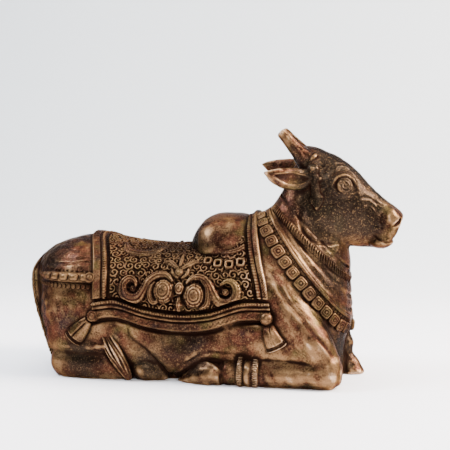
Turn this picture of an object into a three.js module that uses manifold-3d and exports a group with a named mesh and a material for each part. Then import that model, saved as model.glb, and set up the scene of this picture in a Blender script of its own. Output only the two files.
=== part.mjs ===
// A small cast brass figure of a reclining bull that wears a saddle cloth, necklaces and bells.
// Units are millimetres, +Z is up, +X is the way the bull looks and +Y is its left side.
// The origin is on the flat underside, on the middle plane of the body.

import * as THREE from "three";
import { mergeVertices } from "three/addons/utils/BufferGeometryUtils.js";
import Module from "manifold-3d";

const wasm = await Module();
wasm.setup();

// Trunk: at each place along X, its top, its lowest point before the underside is cut flat, its half
// width and the height where it is widest.
const trunkRows = [
  [-71.6, 40.0, 31.0, 3.0, 36],
  [-69.6, 44.6, 22.0, 7.2, 35],
  [-66.2, 47.4, 12.0, 12.6, 34],
  [-61.0, 50.0, 1.0, 19.4, 32],
  [-54.0, 52.0, -6.0, 24.6, 30],
  [-45.0, 52.8, -8.0, 27.4, 28],
  [-30.0, 51.2, -8.0, 27.5, 28],
  [-14.0, 49.8, -7.0, 26.8, 28],
  [4.0, 50.2, -7.0, 26.4, 28],
  [20.0, 54.0, -8.0, 25.8, 28],
  [31.0, 52.0, -8.0, 24.2, 27],
  [41.0, 46.5, -8.0, 20.4, 26],
  [48.5, 40.0, -8.0, 15.6, 24],
  [53.0, 33.0, -8.0, 10.0, 20],
  [55.4, 26.0, -6.0, 4.5, 16],
];
const trunkSides = 18;
const trunkSquareness = 0.76;

// Neck and chest: each ring lies in the plane through its nape point and its throat point, [x, z] each.
const neckRows = [
  { nape: [11, 55], throat: [36, -14], half: 25.2 },
  { nape: [17.5, 60.6], throat: [49, 4], half: 24.4 },
  { nape: [23, 64.6], throat: [55.6, 20.5], half: 21.4 },
  { nape: [27.2, 67.8], throat: [55.6, 30.5], half: 18.0 },
  { nape: [31, 72.4], throat: [55.6, 39.5], half: 15.0 },
  { nape: [34.2, 78.6], throat: [56.6, 46.6], half: 12.6 },
  { nape: [39, 85], throat: [55, 56], half: 10.4 },
];
const neckSides = 16;
const neckSquareness = 0.84;

// Head: rings from the poll to the muzzle, and the few degrees that the head turns to the bull's left.
const headRows = [
  { top: [36.5, 82], low: [36.5, 66], half: 6 },
  { top: [41.2, 88], low: [39.6, 59], half: 11 },
  { top: [49.4, 87.2], low: [45.6, 54.6], half: 12.8 },
  { top: [55.4, 83.2], low: [52.0, 53.0], half: 12.8 },
  { top: [60.6, 77.5], low: [57.4, 51.3], half: 11.2 },
  { top: [65.8, 71.7], low: [61.8, 50.9], half: 9.2 },
  { top: [71.2, 67.9], low: [66.2, 50.9], half: 8.6 },
  { top: [75.6, 66.1], low: [70.6, 50.6], half: 8.9 },
  { top: [77.2, 63.4], low: [73.4, 53.6], half: 7.2 },
];
const headSides = 12;
const headSquareness = 0.86;
const headTurn = THREE.MathUtils.degToRad(5);
const headPivot = new THREE.Vector3(38, 0, 70);

// Hump: a smooth dome that sits on the shoulders behind the neck.
const humpCentre = [7.2, 0, 49.8];
const humpRadii = [12.8, 20.4, 13.4];

// Saddle cloth: where its four edges run, how deep it is sunk, and how its borders stand up: each
// profile gives the distance from the edge and the height above the body there.
const clothCentreHeight = 22;
const clothHalfWidth = 27;
const clothBackEdge = { ridge: -42.0, hem: -36.8 };
const clothFrontEdge = { ridge: 20.5, hem: 30.2 };
const clothLift = 1.1;
const clothSunk = 2.2;
const clothColumns = 3;
const clothRows = 9;
const hemKnots = [
  [-38, 23.2],
  [-29, 24.4],
  [-16, 21.2],
  [-4, 19.8],
  [8, 20.8],
  [20, 24.6],
  [30.4, 25.0],
];
const borderProfile = [
  [0, 1.9],
  [2.3, 2.1],
  [3.0, 1.2],
  [4.4, 2.1],
  [6.2, clothLift],
];
const hemProfile = [
  [0, 2.1],
  [2.3, 2.3],
  [2.9, 1.3],
  [4.0, 2.1],
  [5.4, clothLift],
];

// Flower and scrolls in the middle of the cloth, places as [x, z] on the flank.
const flowerPlace = [-3.4, 35.2];
const rosettePlaces = [
  [-10.2, 34.0],
  [3.2, 33.2],
];
const voluteSpread = 6.6;
const volutePlaces = [
  [-21.6, 37.2],
  [14.2, 36.4],
];
const voluteTurn = THREE.MathUtils.degToRad(400);
const humpBandKnots = [
  [-3.5, 51.5],
  [1.5, 51.0],
  [7, 48.6],
  [13, 48.0],
  [20.5, 50.4],
];
const holedBeadPlaces = [
  [2.0, 47.4],
  [6.4, 44.8],
  [10.9, 44.0],
  [15.4, 44.2],
  [19.8, 45.0],
];

// Tassels hang from the lower corners of the cloth, each from a bead at its start to a flat end.
const backTassel = { start: [-38.6, 23.4], end: [-46.4, 14.4] };
const frontTassel = { start: [29.4, 24.6], end: [33.4, 14.2] };
const tasselShares = [0.2, 0.45, 0.85, 1];
const tasselHalves = [1.6, 2.4, 3.7, 3.3];

// Crupper strap: its places along X where it meets the cloth and at the rump, and its height.
const crupperStart = -39.5;
const crupperEnd = -71;
const crupperTurn = -56;
const crupperHeight = 38.6;
const bellShares = { right: [0.2, 0.4, 0.6, 0.8], left: [0.3, 0.65] };

// Necklaces: each one lies where a plane through its nape and throat points cuts the neck.
const beadNecklace = { nape: [23.2, 65.4], throat: [56.2, 20.5], beads: 25, size: 2.5, lift: 1.2 };
const ropeNecklace = { nape: [27.4, 68.6], throat: [56.4, 40.6], wide: 1.7, high: 1.2 };
const collarRays = 48;
const collarSteps = 9;

// Horns are short and blunt with a ring at the root, and the left one stands a little higher.
const hornRoot = [42.6, 7.6, 82.2];
const hornTip = [31.2, 8.5, 94.0];
const leftHornRise = 2.2;

// Ears: root and tip on each side, y measured outwards, and the half height of the leaf on its way.
const earEnds = {
  right: { root: [44.0, 9.5, 75.6], tip: [29.4, 21.5, 75.2] },
  left: { root: [44.0, 9.5, 78.6], tip: [22.3, 17.5, 82.6] },
};
const earShares = [0, 0.16, 0.4, 0.66, 0.88, 1];
const earHalves = [2.4, 4.4, 5.6, 4.6, 2.2, 0.6];
const earHollowDepths = [0.4, 0.2, 0.3, 0.8];
const earThickness = 2.0;

// Limbs are rows of knots [x, y, z, half across, half up], with y measured outwards from the middle plane.
const thighCentre = [-46.5, 15.6, 25.5];
const thighRadii = [16.6, 12.2, 20.5];
const hindHock = [
  [-54.6, 17.0, 6.6, 3.0, 4.6],
  [-51.0, 19.0, 5.6, 6.4, 6.4],
  [-44.0, 20.2, 5.0, 6.6, 6.3],
  [-33.0, 20.6, 4.6, 6.0, 6.0],
  [-24.0, 20.8, 3.8, 5.0, 4.6],
];
const hindShin = [
  [-40.0, 18.0, 24.0, 7.0, 7.0],
  [-31.0, 18.5, 17.5, 7.4, 6.6],
  [-22.0, 19.5, 10.5, 6.4, 5.4],
  [-15.0, 20.0, 5.2, 4.4, 3.4],
];
const hindHoof = [
  [-22.6, 21.4, 4.6, 4.4, 4.2],
  [-18.4, 22.0, 4.2, 5.4, 5.0],
  [-14.2, 21.6, 2.8, 4.4, 3.9],
  [-10.4, 21.0, 0.8, 1.6, 1.4],
];
const foldedArm = [
  [22.0, 12.0, 42.0, 6.4, 7.4],
  [27.5, 16.8, 38.0, 7.6, 8.6],
  [35.5, 19.8, 28.6, 7.6, 8.0],
  [44.5, 21.6, 17.5, 7.2, 7.4],
  [50.0, 21.4, 8.0, 6.6, 6.2],
];
const elbowCentre = [31.0, 17.8, 17.8];
const elbowRadii = [17.0, 9.4, 10.4];
const foldedShank = [
  [55.0, 21.4, 5.2, 4.2, 4.4],
  [51.6, 21.8, 5.4, 6.9, 6.4],
  [42.0, 22.4, 4.8, 6.6, 5.6],
  [31.0, 22.6, 4.4, 6.2, 5.4],
  [18.0, 22.4, 4.2, 5.6, 5.0],
  [12.6, 22.0, 4.0, 4.8, 4.2],
];
const fetlockCentre = [13.4, 23.0, 4.4];
const fetlockRadii = [3.0, 5.2, 4.4];
const foldedHoof = [
  [11.2, 22.2, 3.4, 5.6, 4.4],
  [7.6, 22.0, 3.6, 6.6, 5.2],
  [3.0, 21.8, 2.6, 5.6, 4.0],
  [-1.8, 21.6, 1.0, 3.4, 2.2],
  [-5.4, 21.4, -0.4, 1.0, 0.8],
];
const ankletPlaces = [18.8, 24.4];
const ankletMiddle = { y: 22.6, z: 4.6 };
const raisedArm = [
  [22.0, 12.0, 42.0, 6.4, 7.4],
  [27.5, 14.6, 36.0, 7.4, 8.0],
  [32.0, 17.6, 26.0, 8.2, 8.6],
  [30.0, 18.4, 14.0, 8.0, 8.0],
];
const raisedForearm = [
  [30.0, 18.0, 12.0, 8.0, 8.0],
  [40.0, 16.0, 15.5, 8.0, 8.0],
  [49.0, 11.0, 20.5, 6.6, 6.6],
  [53.4, 8.6, 22.6, 4.0, 4.4],
];
const raisedShin = [
  [52.4, 9.0, 24.6, 3.0, 3.0],
  [52.8, 8.8, 21.6, 5.0, 5.0],
  [53.8, 8.2, 15.4, 3.8, 3.8],
  [54.4, 7.8, 11.0, 4.8, 4.6],
  [55.6, 7.4, 7.0, 3.2, 3.2],
  [56.6, 7.0, 3.6, 4.4, 4.6],
  [57.6, 6.6, -1.5, 5.6, 6.2],
];
const toeCentre = [58.6, 6.4, 0];
const toeRadii = [4.4, 4.8, 3.4];

// The tail hangs from the top of the rump and swings to the right side on its way down.
const tailKnots = [
  [-56.0, 0, 50.0, 1.6, 1.6],
  [-66.0, 1.5, 47.0, 2.2, 2.2],
  [-70.4, 4.4, 41.8, 2.3, 2.2],
  [-70.4, 6.6, 35.4, 2.3, 2.1],
  [-67.4, 8.8, 26.4, 2.3, 2.1],
  [-64.0, 10.8, 17.2, 2.7, 2.4],
  [-60.6, 12.6, 8.6, 2.7, 2.5],
  [-56.4, 14.4, 2.4, 1.8, 1.8],
];
// The hair at the end of the tail comes out from under the hock and lies across the right shin.
const tuftKnots = [
  [-36.4, 24.6, 20.5, 1.0, 1.2],
  [-33.6, 26.4, 16.4, 2.0, 2.4],
  [-30.2, 27.4, 11.4, 2.6, 2.9],
  [-26.6, 27.6, 6.2, 2.3, 2.6],
  [-23.6, 26.6, 2.0, 1.0, 1.2],
];

// A small hollow between the hooves on the right side, and the flat underside.
const hoofNotch = { centre: [-7.8, -25, 0], radii: [2.4, 6, 2.2] };
const underside = 0;

// A rib's widest line lies this far under the surface, and its root goes this deep.
const ribSunk = 0.5;
const ribRoot = 2.6;
// Rays towards a surface start this far out.
const rayReach = 90;
const side = { right: -1, left: 1 };
const brass = { colour: 0x71502f, roughness: 0.42, metalness: 0.9 };

// Points and vectors.

function vector(x, y, z) {
  return new THREE.Vector3(x, y, z);
}

// The smooth values of a table of rows at a place measured by the first number of each row.
function smoothRows(rows) {
  const places = rows.map((row) => row[0]);
  const values = rows.flatMap((row) => row.slice(1));
  const curve = new THREE.CubicInterpolant(places, values, rows[0].length - 1);
  return (place) => Array.from(curve.evaluate(place));
}

// A power that keeps the sign: under 1 it makes a round section squarer.
function bulge(value, power) {
  return Math.sign(value) * Math.abs(value) ** power;
}

// Solids.

// A closed skin: a capped cylinder whose points are carried to where place() says, from the share of
// its length, the angle round it and whether the point is on the wall (1) or in the middle of a cap (0).
function skin(sides, steps, place) {
  const geometry = new THREE.CylinderGeometry(1, 1, 1, sides, steps);
  const position = geometry.attributes.position;
  for (let i = 0; i < position.count; i += 1) {
    const share = position.getY(i) + 0.5;
    const angle = Math.atan2(position.getX(i), position.getZ(i));
    const out = Math.round(Math.hypot(position.getX(i), position.getZ(i)));
    const point = place(share, angle, out);
    position.setXYZ(i, point.x, point.y, point.z);
  }
  return geometry;
}

// A mesh as a solid, with its faces turned outwards.
function solid(geometry) {
  const bare = geometry.clone();
  bare.deleteAttribute("normal");
  bare.deleteAttribute("uv");
  const merged = mergeVertices(bare, 1e-4);
  const corners = Float32Array.from(merged.attributes.position.array);
  const faces = Uint32Array.from(merged.index.array);
  if (signedVolume(corners, faces) < 0) {
    faces.reverse();
  }
  return new wasm.Manifold(new wasm.Mesh({ numProp: 3, vertProperties: corners, triVerts: faces }));
}

function signedVolume(corners, faces) {
  const [a, b, c] = [vector(), vector(), vector()];
  let volume = 0;
  for (let i = 0; i < faces.length; i += 3) {
    a.fromArray(corners, faces[i] * 3);
    b.fromArray(corners, faces[i + 1] * 3);
    c.fromArray(corners, faces[i + 2] * 3);
    volume += a.dot(b.cross(c)) / 6;
  }
  return volume;
}

function joined(geometries) {
  return geometries.map(solid).reduce((whole, piece) => whole.add(piece));
}

// An ellipsoid, tilted by an angle about the Y axis.
function ellipsoid([x, y, z], radii, sides, steps, tilt = 0) {
  const geometry = new THREE.SphereGeometry(1, sides, steps);
  geometry.rotateX(Math.PI / 2);
  geometry.scale(...radii);
  geometry.rotateY(tilt);
  geometry.translate(x, y, z);
  return geometry;
}

// A point or a knot with its y turned from outwards to the right or the left.
function onSide([x, y, z, ...rest], which) {
  return [x, y * which, z, ...rest];
}

// A limb through knots [x, y, z, radius across, radius up], with round ends from its last radii.
function limb(knots, sides, steps) {
  const path = new THREE.CatmullRomCurve3(knots.map(([x, y, z]) => vector(x, y, z)));
  const shape = smoothRows(knots.map((knot, i) => [i / (knots.length - 1), ...knot.slice(3)]));
  return skin(sides, steps, (share, angle, out) => {
    const [across, up] = shape(share);
    const middle = path.getPoint(share);
    const sideways = path.getTangent(share).cross(vector(0, 0, 1)).normalize();
    const upwards = sideways.clone().cross(path.getTangent(share)).normalize();
    return middle
      .addScaledVector(sideways, out * across * Math.cos(angle))
      .addScaledVector(upwards, out * up * Math.sin(angle));
  });
}

// A rib that lies on a surface: stations give its point, the way out of the surface, its half width
// and its height there. Its widest line and its root are under the surface.
function rib(stations) {
  const last = stations.length - 1;
  return skin(4, last, (share, angle, out) => {
    const i = Math.round(share * last);
    const { at, away, wide, high } = stations[i];
    const forward = stations[Math.min(i + 1, last)].at.clone();
    forward.sub(stations[Math.max(i - 1, 0)].at);
    const sideways = forward.cross(away).normalize();
    const rise = Math.sin(angle) > 0 ? high + ribSunk : ribRoot - ribSunk;
    return at
      .clone()
      .addScaledVector(sideways, out * wide * Math.cos(angle))
      .addScaledVector(away, out * rise * Math.sin(angle) - ribSunk);
  });
}

// A piece made upright about +Z, set at a point with +Z pointing away and +X along a given way.
function setOn(geometry, at, away, along) {
  const third = away.clone().cross(along).normalize();
  const first = third.clone().cross(away).normalize();
  geometry.applyMatrix4(new THREE.Matrix4().makeBasis(first, third, away).setPosition(at));
  return geometry;
}

// A bevelled button about +Z: round with eight sides, or a diamond with its corners on the axes.
function button(wide, long, high, sides = 8) {
  const geometry = new THREE.CylinderGeometry(0.72, 1, 1, sides);
  geometry.rotateX(Math.PI / 2);
  geometry.scale(wide, long, 2 * high);
  return geometry;
}

// A bevelled square button about +Z, with its sides along the axes.
function squareButton(half, high) {
  const geometry = button(half * Math.SQRT2, half * Math.SQRT2, high, 4);
  geometry.rotateZ(Math.PI / 4);
  return geometry;
}

// A round bead about +Z with a dimple in the middle.
function holedBead(radius, high) {
  const outline = [
    [0, -high],
    [radius, -high],
    [radius * 0.7, high],
    [0, high * 0.3],
  ];
  const geometry = new THREE.LatheGeometry(outline.map(([r, z]) => new THREE.Vector2(r, z)), 6);
  geometry.rotateX(Math.PI / 2);
  return geometry;
}

// Trunk, neck and head.

const trunkAt = smoothRows(trunkRows);

function trunk() {
  const last = trunkRows.length - 1;
  return skin(trunkSides, last, (share, angle, out) => {
    const x = trunkRows[Math.round(share * last)][0];
    const [top, low, half, widest] = trunkAt(x);
    const reach = Math.sin(angle) > 0 ? top - widest : widest - low;
    const y = out * half * bulge(Math.cos(angle), trunkSquareness);
    return vector(x, y, widest + out * reach * bulge(Math.sin(angle), trunkSquareness));
  });
}

// A skin of rings that each lie in the plane through their upper and their lower point.
function ringSkin(rows, upper, lower, sides, squareness) {
  const last = rows.length - 1;
  return skin(sides, last, (share, angle, out) => {
    const row = rows[Math.round(share * last)];
    const [topX, topZ] = row[upper];
    const [lowX, lowZ] = row[lower];
    const lean = out * bulge(Math.sin(angle), squareness);
    const y = out * row.half * bulge(Math.cos(angle), squareness);
    const x = (topX + lowX) / 2 + ((topX - lowX) / 2) * lean;
    return vector(x, y, (topZ + lowZ) / 2 + ((topZ - lowZ) / 2) * lean);
  });
}

function turnedHead(geometry) {
  geometry.translate(-headPivot.x, -headPivot.y, -headPivot.z);
  geometry.rotateZ(headTurn);
  geometry.translate(headPivot.x, headPivot.y, headPivot.z);
  return geometry;
}

function horn(which) {
  const rise = vector(0, 0, which === side.left ? leftHornRise : 0);
  const root = vector(...onSide(hornRoot, which)).add(rise);
  const tip = vector(...onSide(hornTip, which)).add(rise);
  const along = (shares, radii) =>
    shares.map((share, i) => [...root.clone().lerp(tip, share).toArray(), radii[i], radii[i]]);
  const cone = along([0, 0.5, 0.92, 1], [2.8, 2.5, 2.2, 1.4]);
  const ring = along([0.14, 0.22, 0.3], [2.5, 3.4, 2.5]);
  return [limb(cone, 6, 3), limb(ring, 6, 2)];
}

// An ear is a pointed leaf, hollow on the side that faces forwards and out.
function ear(which) {
  const ends = which === side.left ? earEnds.left : earEnds.right;
  const root = vector(...onSide(ends.root, which));
  const tip = vector(...onSide(ends.tip, which));
  const knots = earShares.map((share, i) => {
    const point = root.clone().lerp(tip, share);
    return [...point.toArray(), earThickness * (1 - 0.55 * share), earHalves[i]];
  });
  const hollowKnots = knots.slice(1, 5).map(([x, y, z, across, up], i) => {
    const deep = earHollowDepths[i];
    return [x + 1.6 - deep, y + (1.5 - deep) * which, z, across * 0.8, up * 0.72];
  });
  return { leaf: limb(knots, 6, 4), hollow: limb(hollowKnots, 4, 3) };
}

function eye(which) {
  const centre = [56.9, 12.0 * which, 73.4];
  const ball = ellipsoid(centre, [4.6, 1.8, 2.9], 8, 4, 0.2);
  const pupil = button(1.9, 1.7, 0.7, 6);
  setOn(pupil, vector(57.1, 13.3 * which, 73.5), vector(0, which, 0), vector(1, 0, 0));
  const lid = [0, 0.5, 1].map((share) => {
    const swing = Math.PI * (0.04 + 0.92 * share);
    const x = centre[0] + 5.6 * Math.cos(swing);
    const z = centre[2] + 1.0 - 1.1 * Math.cos(swing) + 3.0 * Math.sin(swing);
    return [x, centre[1] + 0.2 * which * Math.sin(swing), z, 1.3, 0.9];
  });
  return [ball, pupil, limb(lid, 4, 3)];
}

// The rosette under the horn and the leaf that hangs from it down the cheek.
function earring(which) {
  const rosette = button(2.5, 2.5, 1.6, 7);
  const away = vector(0, which, 0.2).normalize();
  setOn(rosette, vector(45.4, 11.6 * which, 80.2), away, vector(1, 0, 0));
  const leaf = limb(
    [
      [45.4, 12.0 * which, 78.4, 1.5, 1.2],
      [45.6, 12.8 * which, 70.4, 2.6, 1.2],
      [45.7, 12.7 * which, 66.2, 0.5, 0.5],
    ],
    4,
    2,
  );
  return [rosette, leaf];
}

function muzzle(which) {
  const nostril = ellipsoid([73.4, 7.2 * which, 63.2], [2.4, 2.3, 2.9], 6, 4, 0.5);
  const hole = ellipsoid([75.6, 7.0 * which, 62.4], [1.0, 2.2, 1.5], 5, 3, 0.6);
  const lipLine = limb(
    [
      [63.6, 9.9 * which, 58.0, 0.6, 0.5],
      [68.5, 9.6 * which, 56.0, 0.9, 0.7],
      [73.5, 7.6 * which, 54.6, 1.0, 0.8],
      [77.6, 2.4 * which, 55.3, 0.9, 0.7],
      [78.0, -0.5 * which, 55.4, 0.8, 0.6],
    ],
    4,
    5,
  );
  return { nostril, hole, lipLine };
}

function head() {
  const skull = ringSkin(headRows, "top", "low", headSides, headSquareness);
  const sides = [side.right, side.left];
  const muzzles = sides.map(muzzle);
  const ears = sides.map(ear);
  const raised = [
    skull,
    ...sides.flatMap(horn),
    ...sides.flatMap(eye),
    ...sides.flatMap(earring),
    ...muzzles.map((half) => half.nostril),
    ...ears.map((one) => one.leaf),
  ];
  const cuts = [
    ...muzzles.flatMap((half) => [half.hole, half.lipLine]),
    ...ears.map((one) => one.hollow),
  ];
  return joined(raised.map(turnedHead)).subtract(joined(cuts.map(turnedHead)));
}

// Legs and tail.

function sideLimb(knots, which, sides, steps) {
  return limb(knots.map((knot) => onSide(knot, which)), sides, steps);
}

function hindLeg(which) {
  return [
    ellipsoid(onSide(thighCentre, which), thighRadii, 10, 8),
    sideLimb(hindHock, which, 8, 5),
    sideLimb(hindShin, which, 8, 4),
    sideLimb(hindHoof, which, 8, 4),
  ];
}

// The right foreleg is folded under: upper arm down to the knee, and the shank back along the ground.
function foldedForeleg() {
  const which = side.right;
  const { y, z } = ankletMiddle;
  const anklet = ankletPlaces.map((x) => {
    const inner = [y, z, 5.4, 4.8];
    const outer = [y, z, 6.8, 6.2];
    const knots = [[x - 1.5, ...inner], [x - 1.1, ...outer], [x + 1.1, ...outer], [x + 1.5, ...inner]];
    return sideLimb(knots, which, 8, 3);
  });
  return [
    sideLimb(foldedArm, which, 9, 6),
    ellipsoid(onSide(elbowCentre, which), elbowRadii, 10, 6, 0.12),
    sideLimb(foldedShank, which, 8, 6),
    ellipsoid(onSide(fetlockCentre, which), fetlockRadii, 7, 5),
    sideLimb(foldedHoof, which, 8, 5),
    ...anklet,
  ];
}

// The left foreleg is half raised: its forearm comes forwards and its shin stands before the chest.
function raisedForeleg() {
  const which = side.left;
  return [
    sideLimb(raisedArm, which, 8, 4),
    sideLimb(raisedForearm, which, 8, 3),
    sideLimb(raisedShin, which, 7, 7),
    ellipsoid(onSide(toeCentre, which), toeRadii, 7, 6),
  ];
}

// Surfaces that carving is laid on.

function meshOf(manifold) {
  const { vertProperties, triVerts } = manifold.getMesh();
  const geometry = new THREE.BufferGeometry();
  geometry.setAttribute("position", new THREE.BufferAttribute(vertProperties, 3));
  geometry.setIndex(new THREE.BufferAttribute(triVerts, 1));
  geometry.computeVertexNormals();
  return new THREE.Mesh(geometry, new THREE.MeshBasicMaterial());
}

// The first point of a mesh met by a ray that comes in from outside towards a point.
function laidOn(mesh, towards, away) {
  const start = towards.clone().addScaledVector(away, rayReach);
  const ray = new THREE.Raycaster(start, away.clone().negate());
  const hit = ray.intersectObject(mesh)[0];
  return hit ? hit.point : towards.clone();
}

// A place on the flank at a height, and the way out of the body there.
function flankStation(mesh, [x, z], which, wide, high) {
  const at = laidOn(mesh, vector(x, 0, z), vector(0, which, 0));
  const away = vector(0, at.y, (z - clothCentreHeight) * 0.8).normalize();
  return { at, away, wide, high };
}

const hemHeight = smoothRows(hemKnots);

// A place on the cloth's ground: share -1 is the hem on the right, 0 the ridge and 1 the hem on the left.
function backStation(mesh, x, share, wide, high) {
  const hemAngle = Math.atan2(clothHalfWidth, hemHeight(x)[0] - clothCentreHeight);
  const away = vector(0, Math.sin(share * hemAngle), Math.cos(share * hemAngle));
  const at = laidOn(mesh, vector(x, 0, clothCentreHeight), away);
  return { at, away, wide, high };
}

function clothEdge(edge, share) {
  return THREE.MathUtils.lerp(edge.ridge, edge.hem, Math.abs(share));
}

// Saddle cloth.

// The lines of the cloth's grid from one edge to the other. A line keeps its distance from the first
// or the last edge, or its share of the way between the borders, and how high the cloth stands there.
function gridLines(profile, between) {
  const first = profile.map(([inset, lift]) => ({ first: inset, lift }));
  const shares = Array.from({ length: between }, (_, i) => (i + 1) / (between + 1));
  const middle = shares.map((share) => ({ share, lift: clothLift }));
  const last = profile.map(([inset, lift]) => ({ last: inset, lift })).reverse();
  return [...first, ...middle, ...last];
}

// Where a grid line is between two edges.
function linePlace({ first, last, share }, start, end, border) {
  if (first !== undefined) {
    return start + first;
  }
  return last !== undefined ? end - last : THREE.MathUtils.lerp(start + border, end - border, share);
}

// The cloth is a plate between two sheets: one under the surface, and one that stands proud of it and
// rises at the borders and hems. Its borders are double, with a groove down the middle.
function clothPlate(mesh) {
  const columns = gridLines(borderProfile, clothColumns);
  const rows = gridLines(hemProfile, clothRows);
  const borderWidth = borderProfile.at(-1)[0];
  const halfLength = clothHalfWidth * Math.PI * 0.5;
  const hemWidth = hemProfile.at(-1)[0];
  const geometry = new THREE.BoxGeometry(1, 1, 1, columns.length - 1, rows.length - 1, 1);
  const position = geometry.attributes.position;
  for (let i = 0; i < position.count; i += 1) {
    const column = columns[Math.round((position.getX(i) + 0.5) * (columns.length - 1))];
    const row = rows[Math.round((position.getY(i) + 0.5) * (rows.length - 1))];
    const share = linePlace(row, -halfLength, halfLength, hemWidth) / halfLength;
    const [back, front] = [clothEdge(clothBackEdge, share), clothEdge(clothFrontEdge, share)];
    const { at, away } = backStation(mesh, linePlace(column, back, front, borderWidth), share);
    at.addScaledVector(away, position.getZ(i) > 0 ? Math.max(column.lift, row.lift) : -clothSunk);
    position.setXYZ(i, at.x, at.y, at.z);
  }
  return geometry;
}

// A scroll that winds inwards from its stem: it goes down, out and up, and ends in a curl.
function volute(mesh, [x, z], outwards, which) {
  const steps = 9;
  const stations = Array.from({ length: steps + 1 }, (_, i) => {
    const share = i / steps;
    const radius = voluteSpread * (1 - 0.84 * share);
    const angle = THREE.MathUtils.degToRad(10) - share * voluteTurn;
    const place = [x - outwards * radius * Math.cos(angle), z + radius * Math.sin(angle)];
    const wide = 0.7 + 1.1 * Math.sin(Math.PI * Math.min(1, share * 1.25 + 0.08));
    return flankStation(mesh, place, which, wide, clothLift + 1.6);
  });
  return rib(stations);
}

// A round boss with a row of petals round its outer side on the right flank, and bare on the left one.
function rosette(mesh, [x, z], outwards, which) {
  const { at, away } = flankStation(mesh, [x, z], which);
  const disc = setOn(button(3.9, 4.2, clothLift + 1.7), at, away, vector(1, 0, 0));
  const petal = Array.from({ length: 5 }, (_, i) => {
    const angle = THREE.MathUtils.degToRad(-80 + 52 * i);
    const place = [x + outwards * 4.9 * Math.cos(angle), z + 5.0 * Math.sin(angle)];
    return flankStation(mesh, place, which, 1.3, clothLift + 1.3);
  });
  return which === side.right ? [disc, rib(petal)] : [disc];
}

function flower(mesh, which) {
  const [x, z] = flowerPlace;
  const bead = (dx, dz, wide, long, high, sides) => {
    const { at, away } = flankStation(mesh, [x + dx, z + dz], which);
    return setOn(button(wide, long, high + clothLift, sides), at, away, vector(1, 0, 0));
  };
  return [
    bead(0, 0, 2.1, 2.3, 1.9, 8),
    bead(0, -5.2, 2.6, 3.8, 1.5, 4),
    bead(0, 5.0, 3.0, 3.0, 1.4, 4),
    ...rosettePlaces.flatMap((place, i) => rosette(mesh, place, i === 0 ? -1 : 1, which)),
    ...volutePlaces.map((place, i) => volute(mesh, place, i === 0 ? -1 : 1, which)),
  ];
}

// The band that hangs round the foot of the hump, with holed beads below it.
function humpBand(mesh, which) {
  const bandPath = new THREE.SplineCurve(humpBandKnots.map(([x, z]) => new THREE.Vector2(x, z)));
  const stations = bandPath.getSpacedPoints(5).map((point) =>
    flankStation(mesh, [point.x, point.y], which, 1.1, clothLift + 1.2),
  );
  const beads = holedBeadPlaces.map((place) => {
    const { at, away } = flankStation(mesh, place, which);
    return setOn(holedBead(2.1, clothLift + 1.0), at, away, vector(1, 0, 0));
  });
  return [rib(stations), ...beads];
}

// Harness on the rump, tassels at the cloth's corners.

// The strap round the rump, its row of bells and the rosette where they meet the cloth.
function crupper(mesh, which) {
  const place = (share, wide, high) => {
    const away = vector(-0.12 - 0.9 * share ** 2.2, which * (1.02 - share ** 2), 0.12).normalize();
    const x = Math.max(THREE.MathUtils.lerp(crupperStart, crupperEnd, share ** 1.1), crupperTurn);
    const at = laidOn(mesh, vector(x, 0, crupperHeight + 2.4 * share), away);
    return { at, away, wide, high };
  };
  const strap = [0, 0.25, 0.5, 0.75, 1].map((share) => place(share, 2.6, 1.2));
  const bells = (which === side.right ? bellShares.right : bellShares.left).map((share) => {
    const { at, away } = place(share);
    return setOn(button(1.7, 3.0, 1.9, 4), at, away, vector(0, 0, 1).cross(away));
  });
  const end = place(0);
  const knob = setOn(button(2.4, 2.4, 2.2), end.at, end.away, vector(1, 0, 0));
  return [rib(strap), ...bells, knob];
}

// A tassel: a bead at the corner of the cloth and a bell-shaped tuft below it, flat at its end.
function tassel(mesh, { start, end }, which) {
  const corner = flankStation(mesh, start, which);
  const bead = setOn(button(2.6, 2.6, clothLift + 2.0, 7), corner.at, corner.away, vector(1, 0, 0));
  const stations = tasselShares.map((share, i) => {
    const place = start.map((value, axis) => THREE.MathUtils.lerp(value, end[axis], share));
    return flankStation(mesh, place, which, tasselHalves[i], 1.9);
  });
  return [bead, rib(stations)];
}

// Necklaces.

// The line where a plane through the nape and the throat cuts the body, met from outside.
function collarLine(mesh, { nape, throat }) {
  const middle = vector((nape[0] + throat[0]) / 2, 0, (nape[1] + throat[1]) / 2);
  const slope = vector(nape[0] - throat[0], 0, nape[1] - throat[1]).normalize();
  const points = Array.from({ length: collarRays }, (_, i) => {
    const angle = ((i + 0.5) / collarRays) * Math.PI * 2;
    const away = slope.clone().multiplyScalar(Math.cos(angle));
    away.y = -Math.sin(angle);
    return laidOn(mesh, middle, away.normalize());
  });
  const curve = new THREE.CatmullRomCurve3(points, true);
  return { curve, middle, slope };
}

function outOf({ middle, slope }, at) {
  const away = at.clone().sub(middle);
  const along = slope.clone().multiplyScalar(away.dot(slope) * 0.35);
  return vector(0, away.y, 0).add(along).normalize();
}

function beadedCollar(mesh, necklace) {
  const line = collarLine(mesh, necklace);
  const { beads, size, lift } = necklace;
  return Array.from({ length: beads }, (_, i) => {
    const share = (i + 0.5) / beads;
    const at = line.curve.getPointAt(share);
    const away = outOf(line, at);
    return setOn(squareButton(size, lift), at, away, line.curve.getTangentAt(share));
  });
}

// A closed ring cannot be one capped skin, so each collar is two halves that meet at nape and throat.
function smoothCollar(mesh, necklace) {
  const line = collarLine(mesh, necklace);
  return [0, 0.5].map((start) => {
    const stations = Array.from({ length: collarSteps + 1 }, (_, i) => {
      const at = line.curve.getPointAt((start + i / collarSteps / 2) % 1);
      return { at, away: outOf(line, at), wide: necklace.wide, high: necklace.high };
    });
    return rib(stations);
  });
}

// The whole figure.

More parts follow.
